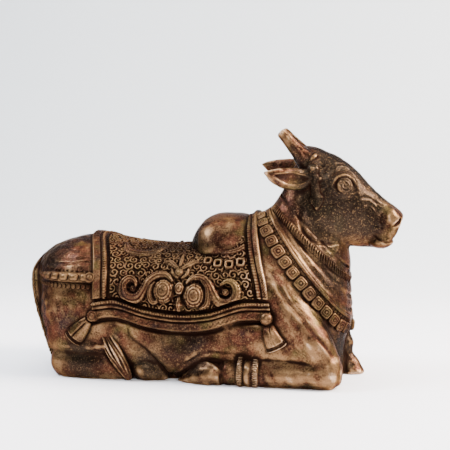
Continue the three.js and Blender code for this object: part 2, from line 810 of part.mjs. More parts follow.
function figure() {
  const core = [
    trunk(),
    ringSkin(neckRows, "nape", "throat", neckSides, neckSquareness),
    ...hindLeg(side.right),
    ...hindLeg(side.left),
  ];
  const clothGround = meshOf(joined(core));
  const draped = joined([...core, clothPlate(clothGround)]);
  const body = draped.add(
    joined([
      ellipsoid(humpCentre, humpRadii, 16, 10),
      ...foldedForeleg(),
      ...raisedForeleg(),
      sideLimb(tailKnots, side.right, 6, 7),
      sideLimb(tuftKnots, side.right, 6, 5),
    ]),
  );
  const surface = meshOf(body);
  const carving = [side.right, side.left].flatMap((which) => [
    ...flower(clothGround, which),
    ...humpBand(clothGround, which),
    ...crupper(surface, which),
    ...tassel(surface, backTassel, which),
    ...tassel(surface, frontTassel, which),
  ]);
  const jewels = [
    ...beadedCollar(surface, beadNecklace),
    ...smoothCollar(surface, ropeNecklace),
  ];
  const whole = body.add(joined(carving)).add(joined(jewels)).add(head());
  const below = new THREE.BoxGeometry(300, 200, 60);
  below.translate(0, 0, underside - 30);
  const notch = ellipsoid(hoofNotch.centre, hoofNotch.radii, 8, 6);
  return whole.subtract(solid(below)).subtract(solid(notch));
}

const nandi = meshOf(figure());
nandi.name = "nandi";
nandi.material = new THREE.MeshStandardMaterial({
  color: brass.colour,
  roughness: brass.roughness,
  metalness: brass.metalness,
});

const part = new THREE.Group();
part.add(nandi);

export default part;
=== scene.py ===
# A small cast brass figure of a reclining bull in a carved saddle cloth, with necklaces and bells.
# Shapes are worked out in millimetres, +X the way the bull looks and +Z up, and saved in metres.
import math
import bmesh
import bpy
import numpy as np
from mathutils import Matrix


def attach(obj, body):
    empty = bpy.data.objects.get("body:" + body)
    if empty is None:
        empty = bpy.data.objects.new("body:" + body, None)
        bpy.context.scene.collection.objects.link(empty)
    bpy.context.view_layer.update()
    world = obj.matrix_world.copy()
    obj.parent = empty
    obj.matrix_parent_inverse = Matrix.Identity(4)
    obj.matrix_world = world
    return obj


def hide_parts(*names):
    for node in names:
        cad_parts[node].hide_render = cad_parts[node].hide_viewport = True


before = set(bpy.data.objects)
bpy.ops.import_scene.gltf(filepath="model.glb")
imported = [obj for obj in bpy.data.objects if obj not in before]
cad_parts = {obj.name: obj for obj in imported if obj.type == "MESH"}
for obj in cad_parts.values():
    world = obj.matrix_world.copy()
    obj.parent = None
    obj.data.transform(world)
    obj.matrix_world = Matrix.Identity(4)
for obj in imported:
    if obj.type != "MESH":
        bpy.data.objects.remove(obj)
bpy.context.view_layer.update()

import openvdb as vdb
from mathutils import Matrix, Vector

mm = 0.001
right, left = -1, 1  # the bull's own sides, as signs of y
allPieces = []


# Curves and closed skins

def unit(v):
    v = np.asarray(v, float)
    return v / np.maximum(np.linalg.norm(v, axis=-1, keepdims=True), 1e-9)


def smoothTable(rows, places):  # a smooth curve through rows whose first number is the place
    rows = np.array(rows, float)
    xs, ys = rows[:, 0], rows[:, 1:]
    slopes = np.gradient(ys, xs, axis=0)
    places = np.atleast_1d(np.asarray(places, float))
    i = np.clip(np.searchsorted(xs, places) - 1, 0, len(xs) - 2)
    gap = (xs[i + 1] - xs[i])[:, None]
    t = (places[:, None] - xs[i][:, None]) / gap
    start = (2 * t**3 - 3 * t**2 + 1) * ys[i] + (t**3 - 2 * t**2 + t) * gap * slopes[i]
    return start + (3 * t**2 - 2 * t**3) * ys[i + 1] + (t**3 - t**2) * gap * slopes[i + 1]


def smoothLine(points, steps):  # a smooth curve through points, at even steps of their number
    rows = np.column_stack([np.arange(len(points)), np.array(points, float)])
    return smoothTable(rows, np.linspace(0, len(points) - 1, steps + 1))


def evenLine(points, spacing, closed=False):  # points at equal distances along a smooth curve
    points = np.array(points, float)
    if closed:  # a few points more on each side keep the join smooth
        points = np.vstack([points[-3:], points, points[:4]])
    fine = smoothLine(points, 12 * (len(points) - 1))
    if closed:
        fine = fine[36:-36]
    run = np.concatenate([[0], np.cumsum(np.linalg.norm(np.diff(fine[:, :3], axis=0), axis=1))])
    count = max(2, int(round(run[-1] / spacing)) + 1)
    places = np.linspace(0, run[-1], count)
    line = np.column_stack([np.interp(places, run, fine[:, k]) for k in range(fine.shape[1])])
    return line[:-1] if closed else line


def loft(rings):  # a closed skin of triangles through rings of points
    rings = np.asarray(rings, float)
    count, sides = rings.shape[:2]
    points = np.vstack([rings.reshape(-1, 3), rings[0].mean(0), rings[-1].mean(0)])
    ring, k = np.divmod(np.arange((count - 1) * sides), sides)
    a, b = ring * sides + k, ring * sides + (k + 1) % sides
    walls = np.vstack([np.column_stack([a, b, b + sides]), np.column_stack([a, b + sides, a + sides])])
    k = np.arange(sides)
    rim = (count - 1) * sides
    first = np.column_stack([np.full(sides, count * sides), (k + 1) % sides, k])
    last = np.column_stack([np.full(sides, count * sides + 1), rim + k, rim + (k + 1) % sides])
    return points, np.vstack([walls, first, last])


def bulge(value, power):  # a power that keeps the sign: under 1 it squares a round section
    return np.sign(value) * np.abs(value) ** power


def limb(knots, sides=24, fine=0.8, ends=0.35, ways=None):
    # knots are [x, y, z, half across, half up]; ways, where given, are the up ways of the section
    knots = np.array(knots, float)
    length = np.linalg.norm(np.diff(knots[:, :3], axis=0), axis=1).sum()
    steps = max(10, int(length / fine))
    line = smoothLine(knots, steps)
    middle, halves = line[:, :3], np.maximum(line[:, 3:5], 0.04)
    ahead = unit(np.gradient(middle, axis=0))
    up = np.tile((0.0, 0.0, 1.0), (steps + 1, 1)) if ways is None else smoothLine(ways, steps)
    across = unit(np.cross(ahead, up))
    up = np.cross(across, ahead)
    turn = np.linspace(0, 2 * np.pi, sides, endpoint=False)

    def ringAt(i, shift, scale):
        wide, high = np.cos(turn)[:, None] * across[i], np.sin(turn)[:, None] * up[i]
        return middle[i] + ahead[i] * shift + (wide * halves[i, 0] + high * halves[i, 1]) * scale

    swings = np.radians([78, 55, 30])
    rings = [ringAt(0, -ends * halves[0].min() * math.sin(s), math.cos(s)) for s in swings]
    rings += [ringAt(i, 0, 1) for i in range(steps + 1)]
    rings += [ringAt(steps, ends * halves[steps].min() * math.sin(s), math.cos(s)) for s in swings[::-1]]
    return loft(rings)


def ball(centre, radii, tilt=0.0, turn=0.0, sides=32):  # an ellipsoid, tilted about Y, turned about Z
    swing = np.linspace(-np.pi / 2, np.pi / 2, sides * 2 // 3)[1:-1]
    around = np.linspace(0, 2 * np.pi, sides, endpoint=False)
    out, up = np.cos(swing)[:, None], np.repeat(np.sin(swing)[:, None], sides, axis=1)
    rings = np.stack([out * np.cos(around), out * np.sin(around), up], axis=2) * radii
    spin = np.array(Matrix.Rotation(turn, 3, "Z") @ Matrix.Rotation(tilt, 3, "Y"))
    return loft(rings @ spin.T + np.array(centre))


def ropeOf(points, radius, fine=0.5, sides=10):  # a thin round limb of one radius
    points = np.array(points, float)
    return limb(np.column_stack([points, np.full((len(points), 2), radius)]), sides, fine, ends=1.0)


def sided(rows, which):  # knots or a point whose y is measured outwards, put on one side of the body
    rows = np.array(rows, float)
    rows[..., 1] *= which
    return rows


# Clay: a field of distances to which shapes are added, and from which they are carved

def newClay(low, high, voxel, band=8):
    first = np.floor(np.array(low) / voxel).astype(int)
    size = np.ceil(np.array(high) / voxel).astype(int) - first + 1
    far = band * voxel
    return {"first": first, "voxel": voxel, "band": band, "far": far, "d": np.full(size, far, np.float32)}


def copyOf(clay):  # the same clay again, to work on apart
    return {**clay, "d": clay["d"].copy()}


def distances(points, faces, voxel, band):  # a field of distances round a closed skin
    return vdb.FloatGrid.createLevelSetFromPolygons(
        points.astype(np.float32), triangles=faces.astype(np.uint32),
        transform=vdb.createLinearTransform(voxel), halfWidth=float(band))


def measured(shape, clay):  # the distances to a shape, and the block of the clay that they fill
    points, faces = shape
    voxel, size = clay["voxel"], np.array(clay["d"].shape)
    low = np.floor((points.min(0) - clay["far"]) / voxel).astype(int) - 1 - clay["first"]
    high = np.ceil((points.max(0) + clay["far"]) / voxel).astype(int) + 2 - clay["first"]
    start = np.clip(low, 0, size)
    stop = np.clip(high, start, size)
    part = np.full(stop - start, clay["far"], np.float32)
    if part.size:
        grid = distances(points, faces, voxel, clay["band"])
        grid.copyToArray(part, ijk=tuple(int(v) for v in clay["first"] + start))
    return part, tuple(slice(a, b) for a, b in zip(start, stop))


def softMin(a, b, soft):  # the smaller of two fields, blended over a width
    if soft <= 0:
        return np.minimum(a, b)
    h = np.maximum(soft - np.abs(a - b), 0) / soft
    return np.minimum(a, b) - h * h * soft / 4


def add(clay, shape, soft=0.0):
    part, block = measured(shape, clay)
    clay["d"][block] = softMin(clay["d"][block], part, soft)


def carve(clay, shape, soft=0.0):
    part, block = measured(shape, clay)
    clay["d"][block] = -softMin(-clay["d"][block], part, soft)


def cutBeyond(clay, point, away):  # cuts off what lies beyond a plane
    places = [(np.arange(n) + f) * clay["voxel"] for n, f in zip(clay["d"].shape, clay["first"])]
    x, y, z = np.meshgrid(*places, indexing="ij", sparse=True)
    away = unit(away)
    beyond = (x - point[0]) * away[0] + (y - point[1]) * away[1] + (z - point[2]) * away[2]
    clay["d"] = np.maximum(clay["d"], beyond.astype(np.float32))


def sample(clay, points):  # the distance at any points
    place = np.asarray(points, float) / clay["voxel"] - clay["first"]
    i = np.clip(np.floor(place).astype(int), 0, np.array(clay["d"].shape) - 2)
    f = np.clip(place - i, 0, 1)
    total = 0
    for corner in np.ndindex(2, 2, 2):
        share = np.prod(np.where(corner, f, 1 - f), axis=1)
        total = total + share * clay["d"][tuple((i + corner).T)]
    return total


def outward(clay, points):  # the way out of the clay at points
    step = clay["voxel"]
    ways = [sample(clay, points + step * axis) - sample(clay, points - step * axis) for axis in np.eye(3)]
    return unit(np.column_stack(ways))


def met(clay, starts, aims):  # where straight lines from outside first meet the clay
    points, aims = np.array(starts, float), unit(aims)
    for _ in range(80):
        points = points + aims * sample(clay, points)[:, None] * 0.9
    return points


def onFlank(clay, places, which):  # places [x, z] on one flank, met from the side
    places = np.atleast_2d(np.array(places, float))
    starts = np.column_stack([places[:, 0], np.full(len(places), 60.0 * which), places[:, 1]])
    return met(clay, starts, np.tile((0.0, -which, 0.0), (len(places), 1)))


def surfaceLine(clay, places, which, out=0.0, spacing=0.8):  # a line through places [x, z], laid on one flank
    flat = evenLine(np.column_stack([places, np.zeros(len(places))]), spacing)[:, :2]
    points = onFlank(clay, flat, which)
    return points + outward(clay, points) * out


def skinOf(clay):  # the clay's surface as points and faces that point outwards
    grid = vdb.FloatGrid(float(clay["far"]))
    grid.copyFromArray(clay["d"], ijk=tuple(int(v) for v in clay["first"]))
    grid.transform = vdb.createLinearTransform(clay["voxel"])
    points, quads = grid.convertToQuads(isovalue=0.0)
    points = points.astype(float)
    a, b, c = (points[quads[:, k]] for k in range(3))
    facing = np.einsum("ij,ij->i", np.cross(b - a, c - b), outward(clay, (a + c) / 2)).sum()
    return points, quads if facing > 0 else quads[:, ::-1]


# Objects

def makeObject(name, points, faces):
    mesh = bpy.data.meshes.new(name)
    mesh.from_pydata((np.asarray(points) * mm).tolist(), [], [list(map(int, face)) for face in faces])
    mesh.validate()
    mesh.shade_smooth()
    piece = bpy.data.objects.new(name, mesh)
    bpy.context.scene.collection.objects.link(piece)
    return piece


def keep(piece):  # a finished piece of the casting, with its faces outwards
    shape = bmesh.new()
    shape.from_mesh(piece.data)
    if shape.calc_volume(signed=True) < 0:
        piece.data.flip_normals()
    shape.free()
    allPieces.append(piece)
    print("made", piece.name, sum(len(p.vertices) - 2 for p in piece.data.polygons), "triangles")


# Body

trunk = {
    # along X: top, low, half width, height of the widest place
    "rows": [
        [-71.2, 40.2, 31.0, 3.0, 36], [-69.4, 44.2, 22.0, 7.2, 35], [-66.2, 47.8, 12.0, 12.6, 34],
        [-61.0, 50.8, 1.0, 19.4, 32], [-54.0, 53.2, -6.0, 24.6, 30], [-49.0, 54.3, -7.2, 26.6, 29],
        [-43.0, 53.6, -8.0, 27.5, 28], [-30.0, 51.2, -8.0, 27.5, 28], [-14.0, 49.8, -7.0, 26.8, 28],
        [4.0, 50.2, -7.0, 26.4, 28], [20.0, 54.0, -8.0, 25.8, 28], [31.0, 52.0, -8.0, 24.2, 27],
        [41.0, 46.5, -8.0, 20.4, 26], [48.5, 40.0, -8.0, 15.6, 24], [53.0, 33.0, -8.0, 10.0, 20],
        [55.4, 26.0, -6.0, 4.5, 16]],
    "squareTop": 0.88, "squareLow": 0.78, "sides": 84, "rings": 110,
    "box": ((-76, -34, -2), (66, 34, 90)), "voxel": 0.5,
    "finish": (2, 11, (4, 9, 17), 0.1),  # rounds of smoothing; seed, lengths and depth of the unevenness
}
neck = {
    # nape x and z, throat x and z, half width
    "rows": [
        [11, 55, 32, -14, 25.2], [17.5, 60.0, 48.0, 4, 24.4], [23, 63.6, 57.8, 20.5, 21.4],
        [27.2, 66.4, 58.6, 30.5, 17.8], [31, 71.6, 57.8, 39.5, 14.4], [34.2, 78.6, 57.8, 46.4, 11.6],
        [39, 85, 55.6, 56, 10.4]],
    "square": 0.9,
}
hindLeg = {  # a limb is rows of x, y outwards, z, half across and half up; a ball is centre, radii and tilt
    "thigh": ((-46.5, 15.6, 25.5), (16.6, 12.2, 20.5)),
    # the limbs in their order, and the width over which each blends into the rest
    "soft": {"shin": 3.2, "ledge": 4.2, "hock": 1.4, "face": 1.0, "ridge": 1.6, "hoof": 0.4},
    "hock": [
        [-56.4, 17.0, 6.4, 3.0, 4.6], [-52.0, 19.6, 5.8, 6.6, 6.6], [-44.0, 20.9, 5.2, 6.9, 6.7],
        [-33.0, 21.1, 4.6, 6.2, 6.1], [-24.0, 20.8, 3.8, 5.0, 4.6]],
    "face": [
        [-54.4, 20.4, 5.4, 2.4, 4.6], [-50.0, 23.2, 5.4, 3.2, 6.0], [-42.0, 24.2, 5.2, 3.2, 6.2],
        [-33.0, 24.4, 4.8, 3.0, 5.6], [-27.0, 23.6, 4.0, 2.6, 4.6]],
    "ledge": [[-55.8, 18.2, 13.4, 4.6, 4.4], [-46.0, 20.8, 13.6, 5.2, 4.6], [-36.0, 21.4, 14.0, 5.2, 4.6]],
    "ridge": [
        [-55.6, 20.0, 12.4, 2.4, 1.6], [-48.9, 24.3, 12.3, 2.4, 1.8], [-40.7, 25.2, 12.4, 2.4, 1.8],
        [-31.0, 26.2, 13.4, 2.0, 1.4]],
    "shin": [
        [-40.0, 18.0, 24.0, 7.0, 7.0], [-31.0, 18.7, 17.5, 7.4, 6.8], [-26.0, 19.4, 13.0, 7.2, 6.8],
        [-21.0, 19.8, 9.0, 6.6, 6.2], [-15.0, 20.0, 5.0, 4.4, 3.4]],
    "hoof": [
        [-22.6, 21.4, 4.6, 4.4, 4.2], [-18.4, 22.0, 4.2, 5.4, 5.0], [-14.2, 21.6, 2.8, 4.4, 3.9],
        [-10.4, 21.0, 0.8, 1.6, 1.4]],
}
belly = {  # the fold of skin that runs from the hind leg to the foreleg
    "knots": [
        [-20.0, 20.0, 19.5, 5.4, 6.0], [-13.0, 21.2, 14.0, 5.4, 6.4], [-5.5, 21.6, 10.0, 5.4, 7.0],
        [4.0, 21.4, 13.0, 5.2, 5.5], [12.0, 20.8, 14.5, 4.6, 5.0]],
    "soft": 3.0,
}
foldedLeg = {
    "soft": {"arm": 3.2, "elbow": 3.4, "shank": 2.0, "fill": 2.4, "fetlock": 0.4, "hoof": 0.4},
    "arm": [
        [22.0, 12.0, 42.0, 6.4, 7.4], [27.5, 16.8, 38.0, 7.6, 8.6], [35.5, 19.8, 28.6, 7.6, 8.0],
        [44.5, 21.6, 17.5, 7.2, 7.4], [50.0, 21.4, 8.0, 6.6, 6.2]],
    "elbow": ((31.0, 17.8, 17.8), (17.0, 9.4, 10.4), 0.12),
    "shank": [
        [55.0, 21.4, 5.2, 4.2, 4.4], [51.6, 21.8, 5.4, 6.9, 6.4], [42.0, 22.4, 4.8, 6.6, 5.6],
        [31.0, 22.6, 4.4, 6.2, 5.4], [18.0, 22.4, 4.2, 5.6, 5.0], [12.6, 22.0, 4.0, 4.8, 4.2]],
    "fill": [[22.0, 20.6, 10.6, 3.4, 3.0], [34.0, 22.0, 10.8, 3.8, 3.2], [46.0, 22.4, 10.6, 3.8, 3.2]],
    "fetlock": ((14.6, 23.0, 4.6), (4.0, 5.6, 5.0)),
    "hoof": [
        [12.0, 22.8, 3.4, 5.4, 4.4], [8.0, 22.6, 3.7, 6.4, 5.4], [4.6, 22.4, 3.2, 6.2, 4.9],
        [0.4, 22.0, 1.8, 5.0, 3.3], [-3.6, 21.6, 0.4, 2.8, 1.6], [-5.6, 21.4, -0.4, 1.2, 0.8]],
    # a raised rim along the hoof: places [x, z] and radius
    "rim": [
        [-4.4, 1.6], [-1.6, 3.4], [0.7, 5.5], [3.4, 7.3], [6.0, 8.2], [8.0, 7.9], [9.9, 6.9], [12.0, 5.4]],
    "rimRadius": 0.55,
}
anklets = {  # three rings round the folded leg, the outer two with ribs
    "places": (19.3, 22.2, 25.1), "bulks": (1.3, 1.5, 1.3), "middle": (22.6, 4.6),
    "edge": (5.6, 5.0), "crown": (6.7, 6.1),  # half across and half up
    "ribLine": (6.6, 6.0), "ribRadius": 6.5, "ribPitch": 0.8, "ribSize": 0.58,
}
raisedLeg = {
    "soft": {"arm": 3.2, "forearm": 2.4, "shin": 0.9, "toe": 1.0},
    "arm": [
        [22.0, 12.0, 42.0, 6.4, 7.4], [27.5, 14.6, 36.0, 7.4, 8.0], [32.0, 17.6, 26.0, 8.2, 8.6],
        [30.0, 18.4, 14.0, 8.0, 8.0]],
    "forearm": [
        [30.0, 18.0, 12.0, 8.0, 8.0], [40.0, 16.0, 15.5, 8.0, 8.0], [49.0, 11.0, 20.5, 6.6, 6.6],
        [53.4, 8.6, 22.6, 4.0, 4.4]],
    "shin": [
        [52.4, 9.0, 24.6, 3.0, 3.0], [52.8, 8.8, 21.6, 5.0, 5.0], [53.8, 8.2, 15.4, 3.8, 3.8],
        [54.4, 7.8, 11.0, 4.8, 4.6], [55.6, 7.4, 7.0, 3.2, 3.2], [56.6, 7.0, 3.6, 4.4, 4.6],
        [57.6, 6.6, -1.5, 5.6, 6.2]],
    "toe": ((58.6, 6.4, 0), (4.4, 4.8, 3.4)),
}
tail = [  # on the right side
    [-56.0, 0, 49.8, 1.6, 1.6], [-64.4, 1.8, 46.3, 2.1, 2.1], [-68.6, 6.2, 41.4, 2.1, 2.1],
    [-67.8, 11.2, 35.4, 2.2, 2.2], [-64.6, 15.4, 27.5, 2.2, 2.2], [-60.2, 18.6, 18.8, 2.3, 2.3],
    [-57.0, 20.0, 11.5, 2.3, 2.3], [-54.6, 19.0, 3.0, 1.8, 1.8]]
hemEdge = [[-38, 23.2], [-29, 24.4], [-16, 21.2], [-4, 19.8], [8, 20.8], [20, 24.6], [31, 25.0]]


def trunkShape():
    xs = np.linspace(trunk["rows"][0][0], trunk["rows"][-1][0], trunk["rings"])
    turn = np.linspace(0, 2 * np.pi, trunk["sides"], endpoint=False)
    square = np.where(np.sin(turn) > 0, trunk["squareTop"], trunk["squareLow"])
    rings = []
    for x, (top, low, half, widest) in zip(xs, smoothTable(trunk["rows"], xs)):
        lean = bulge(np.sin(turn), square)
        z = widest + np.where(lean > 0, top - widest, widest - low) * lean
        rings.append(np.column_stack([np.full(len(turn), x), half * bulge(np.cos(turn), square), z]))
    return loft(rings)


def leaningRings(rows, square, steps, sides=64):  # rings in planes through an upper and a lower point
    turn = np.linspace(0, 2 * np.pi, sides, endpoint=False)
    lean, wide = bulge(np.sin(turn), square), bulge(np.cos(turn), square)
    rings = []
    for topX, topZ, lowX, lowZ, half in smoothLine(rows, steps):
        x = (topX + lowX) / 2 + (topX - lowX) / 2 * lean
        z = (topZ + lowZ) / 2 + (topZ - lowZ) / 2 * lean
        rings.append(np.column_stack([x, half * wide, z]))
    return loft(rings)


def addGround(clay):  # what the saddle cloth and the necklaces lie on
    add(clay, trunkShape())
    add(clay, leaningRings(neck["rows"], neck["square"], 60), soft=3.0)
    for which in (right, left):
        centre, radii = hindLeg["thigh"]
        add(clay, ball(sided(centre, which), radii), soft=3.0)


def addLimbs(clay, leg, which):  # the limbs and balls of a leg, each blended over its own width
    for name, soft in leg["soft"].items():
        form = leg[name]
        if isinstance(form, tuple):
            centre, *rest = form
            add(clay, ball(sided(centre, which), *rest), soft)
        else:
            add(clay, limb(sided(form, which)), soft)


def addAnklets(clay):
    y, z = anklets["middle"]
    for x, bulk in zip(anklets["places"], anklets["bulks"]):
        rows = [[x + bulk * share, y, z, *anklets[part]]
                for share, part in ((-1, "edge"), (-0.7, "crown"), (0.7, "crown"), (1, "edge"))]
        add(clay, limb(sided(rows, right), fine=0.25, ends=0.05), soft=0.2)


def addLegs(clay):
    for which in (right, left):
        addLimbs(clay, hindLeg, which)
        add(clay, limb(sided(belly["knots"], which)), belly["soft"])
    addLimbs(clay, foldedLeg, right)
    rim = onFlank(clay, foldedLeg["rim"], right)
    add(clay, ropeOf(rim, foldedLeg["rimRadius"], sides=14), soft=0.5)
    addAnklets(clay)
    addLimbs(clay, raisedLeg, left)


creases = {  # carved lines on each flank: places [x, z] and how wide and deep the line is
    "both": [
        ([[-24.1, 22.2], [-23.0, 17.2], [-17.6, 12.8], [-13.1, 8.0], [-9.6, 3.2]], 0.55, 0.45),
    ],
    "right": [
        ([[-9.0, 1.5], [-4.6, 5.4], [0.7, 8.8], [6.4, 12.2], [12.6, 11.4], [16.6, 11.2]], 0.45, 0.4),
        ([[14.0, 24.4], [14.4, 19.1], [15.6, 12.9]], 0.7, 0.7),
        ([[33.2, 38.0], [37.0, 32.0], [41.6, 27.0], [46.0, 21.2], [50.1, 16.6], [54.0, 11.6]], 0.6, 0.42),
        ([[27.0, 10.0], [33.0, 10.2], [39.0, 10.0], [45.0, 9.4]], 0.4, 0.35),
        ([[12.4, 8.6], [12.2, 4.6], [12.0, 0.6]], 0.4, 0.45),
        ([[-40.2, 44.6], [-48.7, 44.0], [-57.1, 43.6], [-62.6, 43.4]], 0.35, 0.3),
        ([[-41.0, 46.0], [-48.7, 45.4], [-56.6, 45.0], [-61.2, 44.8]], 0.25, 0.25),
        ([[-41.0, 34.4], [-40.8, 31.0], [-41.4, 27.4]], 0.35, 0.35),
    ],
    "left": [
        ([[31.5, 41.0], [35.4, 33.5], [38.6, 27.4], [42.0, 21.4]], 1.0, 0.9),
    ],
}


def carveCreases(clay):
    for which, names in ((right, ("both", "right")), (left, ("both", "left"))):
        for places, wide, deep in (line for name in names for line in creases[name]):
            points = surfaceLine(clay, places, which, wide - deep, spacing=1.5)
            fade = np.clip(6 * np.sin(np.linspace(0.03, np.pi - 0.03, len(points))), 0.3, 1)
            knots = np.column_stack([points, wide * fade, wide * fade])
            carve(clay, limb(knots, sides=14, fine=0.6, ends=1.0), soft=0.7)


necklaces = {
    "sunk": 1.1, "sunkReach": 6.0,  # worn down at the nape and the throat
    "beads": {"nape": (23.4, 64.2), "throat": (56.8, 20.6), "sag": 2.0},
    "ridge": {"nape": (26.4, 66.2), "throat": (57.6, 25.0), "sag": 1.6},
    "rope": {"nape": (27.9, 67.2), "throat": (58.2, 38.0), "sag": 0.3},
    # skin folds between them: nape, throat, sag and half width
    "folds": [
        ((27.4, 68.4), (57.0, 29.0), 1.4, 0.75), ((28.0, 69.0), (56.6, 34.0), 0.9, 0.8),
        ((30.2, 71.4), (57.0, 43.4), 0.0, 0.4)],
}


def planeOf(ring):  # a point and the upward way of a necklace's plane
    nape, throat = ring["nape"], ring["throat"]
    way = unit(np.array([nape[1] - throat[1], 0, throat[0] - nape[0]]))
    return np.array([nape[0], 0, nape[1]]), way


def collarRing(clay, nape, throat, sag=0.0, count=72):  # where a leaning plane cuts the neck
    nape, throat = np.array([nape[0], 0, nape[1]]), np.array([throat[0], 0, throat[1]])
    middle, slope = (nape + throat) / 2, unit(nape - throat)
    turn = np.linspace(0, 2 * np.pi, count, endpoint=False)
    aims = np.cos(turn)[:, None] * slope + np.sin(turn)[:, None] * np.array([0, -1.0, 0])
    across = unit(np.cross(slope, (0, 1.0, 0)))  # square to the plane
    shift = sag * np.abs(np.sin(turn))[:, None] * across
    points = met(clay, middle + shift + aims * 70, -aims)
    ways = outward(clay, points)
    sunk = necklaces["sunk"] * np.exp(-((points[:, 1:2] / necklaces["sunkReach"]) ** 2))
    return points - ways * sunk, ways


def carveFolds(clay):
    for nape, throat, sag, wide in necklaces["folds"]:
        points, ways = collarRing(clay, nape, throat, sag)
        line = evenLine(points + ways * wide * 0.5, 1.2, closed=True)
        line = np.vstack([line, line[:2]])
        carve(clay, ropeOf(line, wide), soft=0.6)


def unevenness(points, seed, sizes, depth):  # the slight waviness of a surface worked by hand
    draw = np.random.default_rng(seed)
    total = np.zeros(len(points))
    for size in sizes:
        for _ in range(6):
            way = unit(draw.normal(size=3)) * 2 * np.pi / (size * draw.uniform(0.8, 1.3))
            total += np.sin(points @ way + draw.uniform(0, 2 * np.pi))
    return depth * total / (6 * len(sizes)) ** 0.5


def edgesOf(faces):
    faces = np.asarray(faces)
    return np.concatenate([faces[:, [k, (k + 1) % faces.shape[1]]] for k in range(faces.shape[1])])


def relaxed(points, faces, rounds, share=0.5):  # each point moved towards the middle of its neighbours
    edges = edgesOf(faces)
    count = np.bincount(edges[:, 0], minlength=len(points))[:, None]
    for _ in range(rounds):
        sums = [np.bincount(edges[:, 0], points[edges[:, 1], k], len(points)) for k in range(3)]
        points = points + (np.column_stack(sums) / count - points) * share
    return points


seam = {  # the rear and the fore part of the body meet at the crease before the elbow
    "x": 14.6, "overlap": 0.7, "fadeFrom": 1.4, "fadeOver": 2.0,  # no wear is drawn close to it
}


def buildBody():
    clay = newClay(*trunk["box"], trunk["voxel"])
    addGround(clay)
    ground = copyOf(clay)
    addLegs(clay)
    add(clay, limb(sided(tail, right)), soft=0.4)
    carveCreases(clay)
    carveFolds(clay)
    for which in (right, left):  # the deep shadow under the hem of the cloth
        points = surfaceLine(ground, np.array(hemEdge) - (0, 0.9), which, out=0.2, spacing=2.0)
        carve(clay, ropeOf(points, 1.0), soft=0.5)
    cutBeyond(clay, (0, 0, 0), (0, 0, -1))
    return clay, ground


body, ground = buildBody()  # ground is what the cloth lies on, without the legs
print("body clay is ready")


def handWorked(clay, rounds, seed, sizes, depth):  # the clay's skin, smoothed and then a little uneven
    points, faces = skinOf(clay)
    points = relaxed(points, faces, rounds)
    return points + outward(clay, points) * unevenness(points, seed, sizes, depth)[:, None], faces


def makeBody():
    start, way = planeOf(necklaces["rope"])
    for name, away in (("bullRear", 1), ("bullFore", -1)):
        half = dict(body)
        cutBeyond(half, (seam["x"] + seam["overlap"] * away, 0, 0), (away, 0, 0))
        if name == "bullFore":  # the head's piece begins under the rope necklace
            cutBeyond(half, start, way)
        points, faces = handWorked(half, *trunk["finish"])
        points[:, 2] = np.maximum(points[:, 2], 0)
        keep(makeObject(name, points, faces))


makeBody()


tuft = {  # the hair at the tail's end, which comes out from under the hock and lies across the shin
    "knots": [
        [-34.4, 25.0, 19.0, 2.2, 1.1], [-32.6, 26.2, 16.4, 3.0, 1.8], [-29.8, 27.0, 12.2, 3.2, 2.1],
        [-27.0, 27.4, 7.4, 2.8, 2.0], [-24.8, 27.2, 3.8, 2.2, 1.6], [-23.4, 26.6, 0.8, 1.1, 0.9]],
    # carved lines between the locks: shares of the half width, radius, sway and length of the waves
    "locks": (-0.62, -0.22, 0.16, 0.54), "lockWidth": 0.46, "sway": 0.12, "waves": 7, "shift": 1.7,
    "box": ((-42, -33, -1), (-18, -18, 24)), "voxel": 0.25,
}


def makeTuft():
    clay = newClay(*tuft["box"], tuft["voxel"])
    knots = sided(tuft["knots"], right)
    ways = outward(body, onFlank(body, knots[:, [0, 2]], right))
    add(clay, limb(knots, sides=32, fine=0.4, ends=0.4, ways=ways))
    line, up = smoothLine(knots, 30), unit(smoothLine(ways, 30))
    across = unit(np.cross(np.gradient(line[:, :3], axis=0), up))
    for k, share in enumerate(tuft["locks"]):
        wave = tuft["sway"] * np.sin(np.linspace(0, tuft["waves"], len(line)) + k * tuft["shift"])[:, None]
        spot = line[:, :3] + across * line[:, 3:4] * (share + wave)
        spot = spot + up * line[:, 4:5] * math.sqrt(1 - share**2)
        carve(clay, ropeOf(spot, tuft["lockWidth"], fine=0.4), soft=0.15)
    cutBeyond(clay, (0, 0, 0), (0, 0, -1))
    keep(makeObject("tailTuft", *skinOf(clay)))


makeTuft()


# Hump: smooth dome on the shoulders

hump = {
    "dome": ((7.8, 0, 50.2), (12.2, 18.8, 13.0)), "front": ((16.0, 0, 49.8), (11.0, 17.8, 12.8)),
    "soft": 6.0, "box": ((-10, -24, 36), (32, 24, 66)), "voxel": 0.5, "finish": (3, 21, (7, 15), 0.16),
}


def makeHump():
    clay = newClay(*hump["box"], hump["voxel"])
    add(clay, ball(*hump["dome"], sides=64))
    add(clay, ball(*hump["front"], sides=64), hump["soft"])
    keep(makeObject("bullHump", *handWorked(clay, *hump["finish"])))


makeHump()


# Head: made straight, then turned a few degrees to the bull's left along the upper neck

